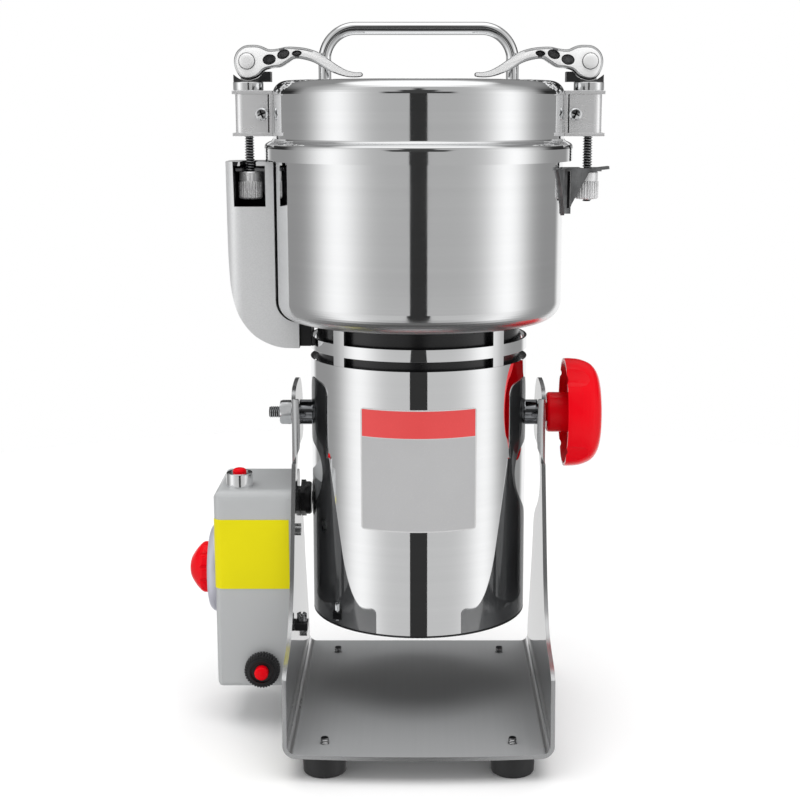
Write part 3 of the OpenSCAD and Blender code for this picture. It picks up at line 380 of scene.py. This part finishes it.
# ======================================================================================
# mesh helpers; every drawing is in millimetres around the mill's axis
# ======================================================================================
def make(name, bm, body, mat, stands=(), angle=35, mods=(), mats=None):
    bmesh.ops.remove_doubles(bm, verts=bm.verts, dist=0.0005)
    bmesh.ops.recalc_face_normals(bm, faces=bm.faces)
    me = bpy.data.meshes.new(name)
    bm.to_mesh(me)
    bm.free()
    me.transform(MM)
    me.shade_smooth()
    o = bpy.data.objects.new(name, me)
    bpy.context.scene.collection.objects.link(o)
    for m in (mats or [mat]):
        me.materials.append(m)
    for kind, props in mods:
        d = o.modifiers.new(kind.lower(), kind)
        for k, v in props.items():
            setattr(d, k, v)
    if angle is not None:
        me.set_sharp_from_angle(angle=math.radians(angle))
    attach(o, body)
    if stands:
        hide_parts(*stands)
    return o


def curve_ring(p, n=5):
    """Closed smooth curve through points p, n steps a span."""
    m, out = len(p), []
    for i in range(m):
        a, b, c, d = p[i - 1], p[i], p[(i + 1) % m], p[(i + 2) % m]
        for k in range(n):
            t = k / n
            out.append(tuple(0.5 * (2 * b[j] + (c[j] - a[j]) * t + (2 * a[j] - 5 * b[j] + 4 * c[j] - d[j]) * t * t
                                    + (3 * b[j] - a[j] - 3 * c[j] + d[j]) * t ** 3) for j in (0, 1)))
    return out


def curve_open(p, n=5):
    m, out = len(p), []
    for i in range(m - 1):
        a, b, c, d = p[max(i - 1, 0)], p[i], p[i + 1], p[min(i + 2, m - 1)]
        for k in range(n):
            t = k / n
            out.append(tuple(0.5 * (2 * b[j] + (c[j] - a[j]) * t + (2 * a[j] - 5 * b[j] + 4 * c[j] - d[j]) * t * t
                                    + (3 * b[j] - a[j] - 3 * c[j] + d[j]) * t ** 3) for j in (0, 1)))
    return out + [tuple(p[-1])]


def inset(p, amounts):
    """Each point of a closed outline moved inwards by its own amount."""
    m = len(p)
    area = sum(p[i - 1][0] * p[i][1] - p[i][0] * p[i - 1][1] for i in range(m))
    sign = 1 if area > 0 else -1
    out = []
    for i in range(m):
        ax_, ay_ = p[i - 1]
        bx_, by_ = p[(i + 1) % m]
        tx, ty = bx_ - ax_, by_ - ay_
        q = math.hypot(tx, ty) or 1
        out.append((p[i][0] - sign * ty / q * amounts[i], p[i][1] + sign * tx / q * amounts[i]))
    return out


def bridge(bm, rings, closed=True):
    """Quads between equally long rings of vertices."""
    for a, b in zip(rings, rings[1:]):
        k = len(a)
        for i in range(k if closed else k - 1):
            j = (i + 1) % k
            vs = [a[i], a[j], b[j], b[i]]
            vs = [v for n_, v in enumerate(vs) if v not in vs[:n_]]
            if len(vs) > 2:
                try:
                    bm.faces.new(vs)
                except ValueError:
                    pass


def lathe(bm, profile, n=96, axis="z", at=(0, 0, 0), sign=1):
    """Turns (radius, distance) points around an axis through at; sign is the way the distance runs."""
    rings = []
    for r, h in profile:
        if r < 1e-6:
            v = bm.verts.new(_turn(0, 0, h * sign, axis, at))
            rings.append([v] * n)
            continue
        rings.append([bm.verts.new(_turn(r * math.cos(2 * math.pi * i / n), r * math.sin(2 * math.pi * i / n), h * sign, axis, at))
                      for i in range(n)])
    bridge(bm, rings)
    return rings


def _turn(a, b, h, axis, at):
    p = {"z": (a, b, h), "y": (a, h, b), "x": (h, a, b)}[axis]
    return tuple(p[i] + at[i] for i in range(3))


def prism(bm, pts, lo, hi, axis="y", at=(0, 0, 0), levels=None):
    """Closed prism over a 2-D outline; levels are (distance, outline) pairs that override lo and hi."""
    levels = levels or [(lo, pts), (hi, pts)]
    rings = [[bm.verts.new(_place(p, h, axis, at)) for p in q] for h, q in levels]
    bridge(bm, rings)
    bm.faces.new(rings[0])
    bm.faces.new(rings[-1])
    return rings


def _place(p, h, axis, at):
    q = {"y": (p[0], h, p[1]), "x": (h, p[0], p[1]), "z": (p[0], p[1], h)}[axis]
    return tuple(q[i] + at[i] for i in range(3))


def ellipse(cx, cz, a, b, tilt=0.0, n=32):
    t = math.radians(tilt)
    return [(cx + a * math.cos(w) * math.cos(t) - b * math.sin(w) * math.sin(t),
             cz + a * math.cos(w) * math.sin(t) + b * math.sin(w) * math.cos(t))
            for w in (2 * math.pi * i / n for i in range(n))]


def solid(bm):
    """A temporary object from a bmesh, still in millimetres."""
    bmesh.ops.remove_doubles(bm, verts=bm.verts, dist=0.0005)
    bmesh.ops.recalc_face_normals(bm, faces=bm.faces)
    me = bpy.data.meshes.new("tmp")
    bm.to_mesh(me)
    bm.free()
    o = bpy.data.objects.new("tmp", me)
    bpy.context.scene.collection.objects.link(o)
    return o


def carve(body, cutters, op="DIFFERENCE"):
    """Result of boolean steps as a new bmesh; the inputs are bmeshes and are used up."""
    o = solid(body)
    tools = []
    for c in cutters:
        t = solid(c)
        d = o.modifiers.new("cut", "BOOLEAN")
        d.operation = op
        d.solver = "EXACT"
        d.object = t
        tools.append(t)
    bpy.context.view_layer.update()
    dg = bpy.context.evaluated_depsgraph_get()
    me = bpy.data.meshes.new_from_object(o.evaluated_get(dg))
    bm = bmesh.new()
    bm.from_mesh(me)
    for t in tools + [o]:
        old = t.data
        bpy.data.objects.remove(t)
        bpy.data.meshes.remove(old)
    bpy.data.meshes.remove(me)
    return bm


def rounded(width, segments=2, angle=30):
    return ("BEVEL", dict(width=width / 1000, segments=segments, limit_method="ANGLE", angle_limit=math.radians(angle),
                          harden_normals=True, use_clamp_overlap=True, miter_outer="MITER_ARC"))


def refine(node, width=0.3, segments=2, angle=38, name=None, mat=None, smooth=40, dissolve=True, dark=None):
    """The CAD solid with its hard edges broken: merged, flat faces joined, small radius on every edge."""
    bm = bmesh.new()
    bm.from_mesh(N[node].data)
    bmesh.ops.remove_doubles(bm, verts=bm.verts, dist=2e-6)
    if dissolve:
        bmesh.ops.dissolve_limit(bm, angle_limit=math.radians(0.6), verts=bm.verts, edges=bm.edges,
                                 delimit=set())
    bmesh.ops.recalc_face_normals(bm, faces=bm.faces)
    bm.transform(MM.inverted())
    body = frame_body(node)
    mats = [mat or M[SLOTS[node]]]
    # faces picked by dark get a near-black painted shade
    if dark:
        mats.append(M["cavity_black"])
        for f in bm.faces:
            if dark(f.calc_center_median()):
                f.material_index = 1
    return make(name or node + "_piece", bm, body, mats[0], (node,), smooth,
                [rounded(width, segments, angle)], mats)


def lug_groove(c):
    """Deep groove between a lug's fork plate and its gusset, which gets a painted shade."""
    return 71.5 < abs(c.x) < 73.45 and 4.9 < abs(c.y) < 8.99 and c.z < 277.2


def frame_body(node):
    for b, nodes in frame["record"]["behaviour"]["bodies"].items():
        if node in nodes:
            return b
    raise KeyError(node)


# ======================================================================================
# cam levers: satin plated castings with a bevelled rim and three blind hollows a side
# ======================================================================================
LEVER = curve_ring([(-6.3, 0), (-5, 4.2), (-1.6, 7), (2.6, 7.6), (6.5, 7.2), (10.5, 5.6), (14.5, 5.8), (19, 6.7),
                    (24, 6.6), (29, 5.9), (34, 4.2), (38.5, 1.2), (43, -1.8), (47.5, -4.2), (51.5, -5.2), (54.6, -5.3),
                    (54.8, -7), (51, -7.5), (46.5, -7.1), (41.5, -5.6), (37, -3.4), (32.5, -0.9), (28, 0.6), (23, 1.2),
                    (19.6, -0.6), (16, -2.7), (12, -3.3), (9, -4), (7.4, -5), (5.8, -6.6), (3.1, -8.2), (0, -8.8),
                    (-3, -7.8), (-5.4, -4.4)], 5)


HOLLOWS = ((10.7, 0.7, 2.9, 2.15, 12), (17.5, 3.15, 2.8, 1.85, 22), (23.9, 3.6, 2.1, 1.1, 6))


def lever(name, node, side):
    def rim(x):
        return 1.25 if x < 30 else max(0.35, 1.25 - (x - 30) * 0.05)
    inner = inset(LEVER, [rim(p[0]) for p in LEVER])
    mid = inset(LEVER, [rim(p[0]) * 0.35 for p in LEVER])
    bm = bmesh.new()
    prism(bm, None, 0, 0, "y", levels=[(-4.5, inner), (-4.05, mid), (-3.1, LEVER), (3.1, LEVER), (4.05, mid), (4.5, inner)])
    cuts = []
    slot_ = bmesh.new()
    prism(slot_, [(-12, -12), (7.2, -12), (7.2, 12), (-12, 12)], -2.1, 2.1)
    pin_ = bmesh.new()
    prism(pin_, ellipse(0, 0, 2.05, 2.05), -6, 6)
    cuts += [slot_, pin_]
    for cx, cz, a, b, t in HOLLOWS:
        for s in (-1, 1):
            h = bmesh.new()
            prism(h, None, 0, 0, "y", levels=[(s * 6, ellipse(cx, cz, a + 0.3, b + 0.3, t)), (s * 4.5, ellipse(cx, cz, a + 0.3, b + 0.3, t)),
                                              (s * 4.1, ellipse(cx, cz, a, b, t)), (s * 2.6, ellipse(cx, cz, a * 0.93, b * 0.9, t)),
                                              (s * 2.2, ellipse(cx, cz, a * 0.7, b * 0.62, t))])
            cuts.append(h)
    bm = carve(bm, cuts)
    # cheeks ground bright, edges as cast and polished, hollows given a painted shade in dark metal
    bm.normal_update()
    for f in bm.faces:
        c = f.calc_center_median()
        deep = any(((c.x - cx) / (a + 0.5)) ** 2 + ((c.z - cz) / (b + 0.5)) ** 2 < 1.15 for cx, cz, a, b, t in HOLLOWS)
        if abs(f.normal.y) > 0.97 and abs(c.y) > 4.4:
            f.material_index = 0
        elif deep and 2.1 < abs(c.y) < 4.47:
            f.material_index = 2
        else:
            f.material_index = 1
    if side > 0:
        bmesh.ops.transform(bm, matrix=Matrix.Scale(-1, 4, (1, 0, 0)), verts=bm.verts)
    bmesh.ops.translate(bm, vec=(side * 82, 0, 329.2), verts=bm.verts)
    return make(name, bm, node, None, (node,), 30, [rounded(0.18, 2, 50)],
                mats=[M["lever_metal"], M["lever_edge"], M["lever_hollow"]])


M["lever_metal"] = metal("lever_metal", (0.96, 0.96, 0.96), 0.40, "lines", 600, 0.000003, 0.00003, stretch=(0.3, 1, 1),
                         streak_colour=0.02, smudge=0.2)
M["lever_metal"].node_tree.nodes["Principled BSDF"].inputs["Metallic"].default_value = 0.05
M["pin_metal"].node_tree.nodes["Principled BSDF"].inputs["Metallic"].default_value = 0.35
M["lever_edge"] = metal("lever_edge", (0.78, 0.785, 0.79), 0.26, "lines", 500, 0.00001, 0.0001, stretch=(0.5, 1, 1),
                        streak_colour=0.1, smudge=0.3)
# painted shade for the lever hollows and the rims of the pin heads
M["lever_hollow"] = metal("lever_hollow", (0.20, 0.20, 0.205), 0.42, "lines", 1500, 0.0002, 0.0001, stretch=(1, 1, 1),
                          streak_colour=0.6, smudge=0.5)
M["nut_metal"] = metal("nut_metal", (0.95, 0.95, 0.955), 0.28, "lines", 900, 0.000003, 0.00002,
                       stretch=(1, 1, 1), streak_colour=0.03, smudge=0.1)
M["nut_metal"].node_tree.nodes["Principled BSDF"].inputs["Metallic"].default_value = 0.55
M["lug_metal"] = metal("lug_metal", (0.36, 0.365, 0.37), 0.45, "lines", 1100, 0.00012, 0.0001, stretch=(1, 1, 0.6),
                       streak_colour=0.45, smudge=0.6)
M["rod_metal"] = metal("rod_metal", (0.50, 0.505, 0.51), 0.22, "lines", 1500, 0.000005, 0.00002, stretch=(1, 1, 0.4),
                       streak_colour=0.1, smudge=0.3)
# near black, a painted shade for grooves, recesses and gaps
M["cavity_black"] = plain("cavity_black", (0.006, 0.006, 0.007), 0.45, 900, 0.00002, 0.2, wear=(0.012, 0.012, 0.013),
                          Specular_IOR_Level=0.25)
M["dark_casting"] = plain("dark_casting", (0.010, 0.010, 0.011), 0.22, 700, 0.00001, 0.3, wear=(0.02, 0.02, 0.021),
                          Specular_IOR_Level=0.5)
dress("upper_bracket", M["dark_casting"])
lever("left_lever_piece", "left_lever", -1)
lever("right_lever_piece", "right_lever", 1)


# ======================================================================================
# latch rods: 5 mm thread below, flat eye above
# ======================================================================================
def thread(bm, z0, z1, r_out, r_in, pitch, axis="z", at=(0, 0, 0), n=28, rows=8, plain_to=None):
    """A threaded stretch from z0 to z1 with chamfered ends; closed by fans."""
    rings, z = [], z0
    step = pitch / rows
    while z <= z1 + 1e-6:
        ring = []
        for i in range(n):
            w = (z / pitch + i / n) % 1.0
            tri = abs(w - 0.5) * 2
            tri = min(1.0, max(0.0, (tri - 0.12) / 0.76))
            r = r_out - (r_out - r_in) * tri
            fade = min(1.0, (z - z0) / 0.5)
            r = min(r, r_in + (r_out - r_in) * fade)
            if plain_to is not None and z > z1 - 0.6:
                r = r_out
            a = 2 * math.pi * i / n
            ring.append(bm.verts.new(_turn(r * math.cos(a), r * math.sin(a), z, axis, at)))
        rings.append(ring)
        z += step
    end = plain_to if plain_to is not None else z1
    if plain_to is not None:
        rings.append([bm.verts.new(_turn(r_out * math.cos(2 * math.pi * i / n), r_out * math.sin(2 * math.pi * i / n), plain_to, axis, at))
                      for i in range(n)])
    bridge(bm, rings)
    bm.faces.new(rings[0])
    bm.faces.new(rings[-1])


def latch_rods():
    bm = bmesh.new()
    for s in (-1, 1):
        x = 82 * s
        thread(bm, 262.6, 297, 2.4, 1.6, 1.3, "z", (x, 0, 0), plain_to=319.9)
        eye = [(x + 5 * math.cos(t), 329.2 + 5 * math.sin(t)) for t in (math.radians(a) for a in range(-47, 228, 5))]
        eye += [(x - 3.4, 319.8), (x + 3.4, 319.8)]
        prism(bm, eye, -1.9, 1.9)
    return make("latch_rods_piece", bm, "lid", M["rod_thread"], ("latch_rods",), 28)


latch_rods()


# ======================================================================================
# rating plate: bare foil label with a red head band, a pale edge and rounded corners
# ======================================================================================
def rating_plate():
    half, z0, z1, r = 28.62, 110.0, 169.0, 1.5
    zh = 155.4
    cols = [-half + r * (1 - math.cos(math.radians(a))) for a in range(0, 91, 15)]
    cols += [-half + r + (2 * half - 2 * r) * i / 64 for i in range(1, 64)]
    cols += [half - r * (1 - math.cos(math.radians(a))) for a in range(90, -1, -15)]
    bm = bmesh.new()
    grid = []
    for c in cols:
        d = max(0.0, r - (half - abs(c)))
        drop = r - math.sqrt(max(0.0, r * r - d * d))
        lo, hi = z0 + drop, z1 - drop
        e = 0.55 if abs(c) < half - 0.6 else 0.02
        rows = [lo, lo + e, zh - 0.3, zh, hi - e, hi]
        w = c / 53.6
        grid.append([bm.verts.new((53.85 * math.sin(w), -53.85 * math.cos(w), z)) for z in rows]
                    + [bm.verts.new((53.6 * math.sin(w), -53.6 * math.cos(w), z)) for z in (lo, hi)])
    tagged = []
    for a, b, ca, cb in zip(grid, grid[1:], cols, cols[1:]):
        edge = max(abs(ca), abs(cb)) > half - 0.55
        for i in range(5):
            f = bm.faces.new((a[i], b[i], b[i + 1], a[i + 1]))
            f.material_index = 2 if edge or i in (0, 4) else (0 if i == 1 else (2 if i == 2 else 1))
        bm.faces.new((a[6], a[0], b[0], b[6])).material_index = 2
        bm.faces.new((a[5], a[7], b[7], b[5])).material_index = 2
        bm.faces.new((a[7], a[6], b[6], b[7])).material_index = 2
    for g in (grid[0], grid[-1]):
        bm.faces.new((g[6], g[0], g[1], g[2], g[3], g[4], g[5], g[7])).material_index = 2
    return make("rating_plate_piece", bm, "mill", None, ("rating_plate",), 30,
                mats=[M["label_film"], M["label_red"], M["label_edge"]])


M["label_red"] = plain("label_red", (0.78, 0.062, 0.062), 0.36, 1500, 0.00001, 0.03)
M["label_film"].node_tree.nodes["Principled BSDF"].inputs["Specular IOR Level"].default_value = 0.3
M["label_edge"] = plain("label_edge", (0.62, 0.62, 0.62), 0.36, 1500, 0.00001, 0.03)
rating_plate()

for node, w, mat in (("base_frame", 0.35, None), ("control_box", 0.3, None), ("latch_brackets", 0.25, "sleeve_metal"),
                     ("latch_sleeves", 0.35, "sleeve_metal"), ("left_lug", 0.3, "lug_metal"), ("right_lug", 0.3, "lug_metal"),
                     ("motor_gland", 0.3, None), ("mains_gland", 0.3, None), ("cable_clip", 0.4, None),
                     ("clip_screw", 0.2, "zinc"), ("latch_pads", 0.3, None),
                     ("handle_end", 0.4, None), ("control_box_screws", 0.12, None)):
    refine(node, w, mat=M[mat] if mat else None, dark=lug_groove if mat == "lug_metal" else None)


# ======================================================================================
# ribbed nuts, and the left pivot's nut and threaded bolt end
# ======================================================================================
def ribbed(bm, profile, teeth, depth, axis, at, sign=1, per=8):
    """Ring turned from closed (radius, distance, rib) points; rib scales the grooves at that point."""
    n = teeth * per
    rings = []
    for r, h, rib in profile:
        ring = []
        for i in range(n):
            g = abs(((i % per) / per) * 2 - 1)          # 1 at the groove's middle
            q = r - rib * depth * max(0.0, (g - 0.35) / 0.65) ** 0.8
            a = 2 * math.pi * i / n
            ring.append(bm.verts.new(_turn(q * math.cos(a), q * math.sin(a), h * sign, axis, at)))
        rings.append(ring)
    bridge(bm, rings + [rings[0]])


bm = bmesh.new()
ribbed(bm, [(5.5, 0, 0), (8.5, 0, 1), (8.8, 0.3, 1), (8.8, 4.6, 1), (8.5, 5.2, 1), (7.9, 5.6, 0.4), (7.1, 5.6, 0), (6.9, 5.7, 0),
            (6.7, 6.2, 0), (6.5, 6.3, 0), (5.7, 6.3, 0), (5.5, 6.1, 0)], 36, 0.62, "y", (-78, -26, 31.9), -1)
make("breaker_nut_piece", bm, "base", M["black_plastic"], ("breaker_nut",), 28)

def foot_screws():
    """Cross-head screws from below; their threaded ends stand above the base plate."""
    stud = bmesh.new()
    thread(stud, 0, 3.6, 2.0, 1.6, 0.8, "z", (0, 0, 0), n=28, rows=8, plain_to=10.0)
    head = bmesh.new()
    lathe(head, [(0, 9.8), (3.7, 9.8), (3.8, 9.9), (3.8, 12.5), (3.3, 13.0), (0, 13.0)], 64)
    body = carve(stud, [head], "UNION")
    cuts = []
    for u, v in ((2.4, 0.45), (0.45, 2.4)):
        c = bmesh.new()
        prism(c, [(-u, -v), (u, -v), (u, v), (-u, v)], 11.6, 13.4, "z")
        cuts.append(c)
    body = carve(body, cuts)
    me = bpy.data.meshes.new("tmp")
    body.to_mesh(me)
    body.free()
    bm = bmesh.new()
    for x in (-44.2, 44.2):
        for y in (-75, 46):
            start = len(bm.verts)
            bm.from_mesh(me)
            bm.verts.ensure_lookup_table()
            for v in bm.verts[start:]:
                v.co = (v.co.x + x, y - v.co.y, 16.4 - v.co.z)
    bpy.data.meshes.remove(me)
    return make("foot_screws_piece", bm, frame_body("foot_screws"), M["stud_thread"], ("foot_screws",), 28)


foot_screws()

# rims of the lever pins' domed heads: painted shade, a dark outline where the gap beside each head lies in shadow
pins = N["lever_pins"]
pins.data.materials.append(M["lever_hollow"])
for p in pins.data.polygons:
    c = MM.inverted() @ p.center
    if math.hypot(abs(c.x) - 82, c.z - 329.2) > 3.6:
        p.material_index = len(pins.data.materials) - 1

# painted shade in the cross recesses of the sleeve screws: faces below the domed heads
screws = N["latch_screws"]
screws.data.materials.append(M["cavity_black"])
for p in screws.data.polygons:
    c = MM.inverted() @ p.center
    if c.y < -8.2 and math.hypot(abs(c.x) - 75, c.z - 304.3) < 2.1 and (abs(p.normal.y) < 0.3 or c.y > -8.45):
        p.material_index = len(screws.data.materials) - 1

for side_, node in ((-1, "left_latch_nut"), (1, "right_latch_nut")):
    bm = bmesh.new()
    ribbed(bm, [(2.45, 263.7, 0), (4.9, 263.7, 0), (5.3, 263.9, 0.3), (5.75, 264.4, 1), (5.8, 264.8, 1), (5.8, 271.7, 1), (5.6, 272.1, 1),
                (5.2, 272.4, 0), (5.2, 272.7, 0), (5.3, 272.9, 0), (5.3, 276.4, 0), (5.0, 276.9, 0), (4.8, 277, 0), (2.45, 277, 0)],
           26, 0.5, "z", (side_ * 82, 0, 0))
    make(node + "_piece", bm, frame_body(node), M["nut_metal"], (node,), 28)


def vent_ring():
    """Air outlet: a band half way up and four posts, cut from one polished ring."""
    half = math.degrees(math.asin(3.65 / 53.6))
    angles, post = [], []
    for c in (45, 135, 225, 315):
        for i in range(4):
            angles.append(c - half + i * half / 2)
            post.append(True)
        gap = 90 - 2 * half
        for i in range(40):
            angles.append(c + half + gap * i / 40)
            post.append(False)
    m = len(angles)
    zs = (187.0, 191.5, 197.4, 205.5)
    bm = bmesh.new()
    grid = [[[bm.verts.new((r * math.cos(math.radians(a)), r * math.sin(math.radians(a)), z)) for z in zs] for a in angles]
            for r in (53.6, 52.4)]

    def there(i, k):
        return 0 <= k < 3 and (k == 1 or post[i % m])

    for i in range(m):
        j = (i + 1) % m
        for k in range(3):
            if not there(i, k):
                continue
            o_, n_ = grid[0], grid[1]
            bm.faces.new((o_[i][k], o_[j][k], o_[j][k + 1], o_[i][k + 1]))
            bm.faces.new((n_[i][k + 1], n_[j][k + 1], n_[j][k], n_[i][k]))
            if not there(i, k - 1):
                bm.faces.new((o_[i][k], n_[i][k], n_[j][k], o_[j][k]))
            if not there(i, k + 1):
                bm.faces.new((o_[i][k + 1], o_[j][k + 1], n_[j][k + 1], n_[i][k + 1]))
            if not there(i - 1, k):
                bm.faces.new((o_[i][k], o_[i][k + 1], n_[i][k + 1], n_[i][k]))
            if not there(j, k):
                bm.faces.new((o_[j][k], n_[j][k], n_[j][k + 1], o_[j][k + 1]))
    bmesh.ops.delete(bm, geom=[v for v in bm.verts if not v.link_faces], context="VERTS")
    return make("vent_ring_piece", bm, "mill", M["mirror_steel"], ("vent_ring",), 30, [rounded(0.12, 2, 40)])


vent_ring()

# painted shade inside the handle's window and in the gap beside the bowl
handle = N["pouring_handle"]
handle.data.materials.append(M["cavity_black"])
back = MM.inverted()
for f in handle.data.polygons:
    c = back @ f.center
    if -88.75 < c.x < -73.3 and -13.9 < c.y < 13.9 and 256.8 < c.z < 281.9:
        f.material_index = 1
    elif math.hypot(c.x, c.y) < 71.2 and abs(c.y) < 13.9:
        f.material_index = 1


def pivot_nut():
    """Hexagon nut with a washer face, chamfered at its outer end."""
    zp, lean_x = 157.5, -61.78
    bm = bmesh.new()
    rings = []
    n = 96
    for h, rr, cap in ((lean_x - 0.35, 6.6, 0), (lean_x - 0.55, 6.9, 0), (lean_x - 1.6, 6.9, 0), (lean_x - 1.8, 6.5, 0), (lean_x - 1.8, 6.05, 1), (lean_x - 2.3, 6.4, 1),
                       (-68.4, 6.4, 1), (-69.2, 5.7, 1), (-69.4, 5.0, 1), (-69.4, 3.4, 0), (-69.0, 3.0, 0), (lean_x - 0.35, 3.0, 0)):
        ring = []
        for i in range(n):
            a = 2 * math.pi * i / n
            hexr = 6.4 * math.cos(math.pi / 6) / math.cos((a % (math.pi / 3)) - math.pi / 6)
            q = min(rr, hexr) if cap else rr
            ring.append(bm.verts.new((h, q * math.cos(a), zp + q * math.sin(a))))
        rings.append(ring)
    bridge(bm, rings + [rings[0]])
    return make("pivot_nut_piece", bm, "mill", M["zinc"], ("pivot_nut",), 30)


def pivot_bolt():
    zp = 157.5
    bm = bmesh.new()
    hexa = [(7.4 * math.cos(math.radians(a)), 7.4 * math.sin(math.radians(a))) for a in range(0, 360, 60)]
    thread(bm, -74.8, -69.0, 3.0, 2.45, 1.0, "x", (0, 0, zp), n=32, rows=8, plain_to=-61.98)
    lathe(bm, [(0, -62.08), (3.9, -62.08), (4, -61.9), (4, -52.3), (0, -52.3)], 48, "x", (0, 0, zp))
    prism(bm, [(y, zp + z) for y, z in hexa], -51.6, -47.6, "x")
    return make("pivot_bolt_piece", bm, "mill", M["bolt_thread"], ("pivot_bolt",), 28)


pivot_nut()
pivot_bolt()

# ======================================================================================
# floor and light
# ======================================================================================
bm = bmesh.new()
bmesh.ops.create_circle(bm, cap_ends=True, cap_tris=False, segments=128, radius=700)
floor = bpy.data.objects.new("floor", bpy.data.meshes.new("floor"))
bm.to_mesh(floor.data)
bm.free()
floor.data.transform(MM)
bpy.context.scene.collection.objects.link(floor)
fl = Mat("floor_white", (0.9, 0.9, 0.9), 0.0, 0.6)
fo = fl.obj()
fl.link(fl.mix(fl.noise(fo, 9, 3, 0.5), (0.95, 0.95, 0.95), (0.96, 0.96, 0.96)), "Base Color")
fl.bump((fl.noise(fo, 400, 2, 0.5), 0.00003, 1.0))
floor.data.materials.append(fl.m)
floor.visible_glossy = False

world = bpy.data.worlds.new("studio")
bpy.context.scene.world = world
world.use_nodes = True
wt = world.node_tree
wt.nodes.clear()


def wn(kind, ins=None, **props):
    x = wt.nodes.new(kind)
    for k, v in props.items():
        setattr(x, k, v)
    for k, v in (ins or {}).items():
        if isinstance(v, bpy.types.NodeSocket):
            wt.links.new(v, x.inputs[k])
        else:
            x.inputs[k].default_value = v
    return x


def wm(op, a, b=0.0, c=0.0, clamp=False):
    return wn("ShaderNodeMath", {0: a, 1: b, 2: c}, operation=op, use_clamp=clamp).outputs[0]


def wspan(v, a, b, lo, hi, smooth=True):
    return wn("ShaderNodeMapRange", {"Value": v, "From Min": a, "From Max": b, "To Min": lo, "To Max": hi},
              interpolation_type="SMOOTHSTEP" if smooth else "LINEAR").outputs["Result"]


def wmix(f, a, b):
    """a where f is 0, b where f is 1."""
    return wm("ADD", wm("MULTIPLY", a, wm("SUBTRACT", 1.0, f)), wm("MULTIPLY", b, f))


direction = wn("ShaderNodeTexCoord").outputs["Generated"]
dx, dy, dz = wn("ShaderNodeSeparateXYZ", {0: direction}).outputs
azim = wm("MULTIPLY", wm("ARCTAN2", dx, wm("MULTIPLY", dy, -1.0)), 180 / math.pi)  # 0 in front, 90 to the right
away = wm("ABSOLUTE", azim)


def lobe(centre, width):
    d = wm("DIVIDE", wm("SUBTRACT", azim, centre), width)
    return wm("POWER", math.e, wm("MULTIPLY", wm("MULTIPLY", d, d), -1.0))


low = wspan(dz, -0.11, -0.18, 0, 1)
base = wmix(wspan(away, 40, 105, 0, 1), wmix(low, 0.495, 0.61), 0.32)
lobes = wm("ADD", wm("MULTIPLY", lobe(-68, 22), 0.74), wm("MULTIPLY", lobe(75, 21), 0.80))
side = wm("ADD", base, wm("MULTIPLY", lobes, wmix(low, 1.0, 0.80)))
# above the horizon: a dim back wall, grey in front, and a soft light straight overhead
behind = wm("MULTIPLY", wspan(away, 110, 140, 0, 1), wspan(dz, 0.0, 0.05, 0, 1))
side = wmix(behind, side, 0.30)
dark_band = wm("MULTIPLY", wspan(away, 100, 120, 0, 1), wm("MULTIPLY", wspan(dz, 0.06, 0.10, 0, 1), wspan(dz, 0.86, 0.80, 0, 1)))
side = wmix(dark_band, side, 0.03)
# dark arch above the camera, seen in the lid's shoulder
arch_top = wm("SUBTRACT", 0.72, wm("MULTIPLY", away, 0.0170))
arch = wm("MULTIPLY", wspan(dz, 0.065, 0.08, 0, 1), wspan(wm("SUBTRACT", dz, arch_top), -0.07, 0.07, 1, 0))
side = wmix(arch, side, 0.06)
front_up = wm("MULTIPLY", wspan(dz, 0.2, 0.6, 0, 1), wmix(arch, 0.6, 0.0))
side = wmix(front_up, side, 0.50)
# white backdrop, seen in surfaces that run away from the camera
backdrop = wm("MULTIPLY", wspan(away, 138, 152, 0, 1), wspan(dz, 0.03, -0.03, 0, 1))
side = wmix(backdrop, side, 1.0)
room = wmix(wspan(dz, 0.80, 0.90, 0, 1), side, 1.25)
room = wmix(wspan(dz, -0.55, -0.85, 0, 1), room, 0.10)
# the dark cards and lamps are for reflections; matte surfaces get an even fill
paths = wn("ShaderNodeLightPath").outputs
strength = wmix(paths["Is Diffuse Ray"], room, 0.72)
strength = wmix(paths["Is Camera Ray"], strength, 1.0)
bg = wn("ShaderNodeBackground", {"Color": (1, 1, 1, 1), "Strength": strength})
out = wn("ShaderNodeOutputWorld", {"Surface": bg.outputs[0]})

# large overhead panel: fills the floor and the painted and moulded pieces
panel = bpy.data.lights.new("panel", "AREA")
panel.shape = "SQUARE"
panel.size = 1.6
panel.energy = 20
panel_o = bpy.data.objects.new("panel", panel)
panel_o.location = (AX, AY - 0.25, 1.5)
panel_o.visible_glossy = False
bpy.context.scene.collection.objects.link(panel_o)

# dark camera stand in front of the mill, seen only in the polished steel
bm = bmesh.new()
outline = [(-114, -400), (114, -400), (114, 70), (82, 100), (82, 362), (-82, 362), (-82, 100), (-114, 70)]
bm.faces.new([bm.verts.new((x, -738, z)) for x, z in outline])
flag = bpy.data.objects.new("camera_stand", bpy.data.meshes.new("camera_stand"))
bm.to_mesh(flag.data)
bm.free()
flag.data.transform(MM)
fm = Mat("stand_black", (0.0, 0.0, 0.0), 0.0, 1.0)
fm.b.inputs["Specular IOR Level"].default_value = 0.0
fm.b.inputs["Emission Color"].default_value = (1, 1, 1, 1)
fm.b.inputs["Emission Strength"].default_value = 0.036
flag.data.materials.append(fm.m)
bpy.context.scene.collection.objects.link(flag)
flag.visible_camera = False
flag.visible_diffuse = False
flag.visible_shadow = False
flag.visible_transmission = False

bpy.context.scene.view_settings.view_transform = "Standard"
bpy.context.scene.view_settings.look = "None"

bpy.context.view_layer.update()
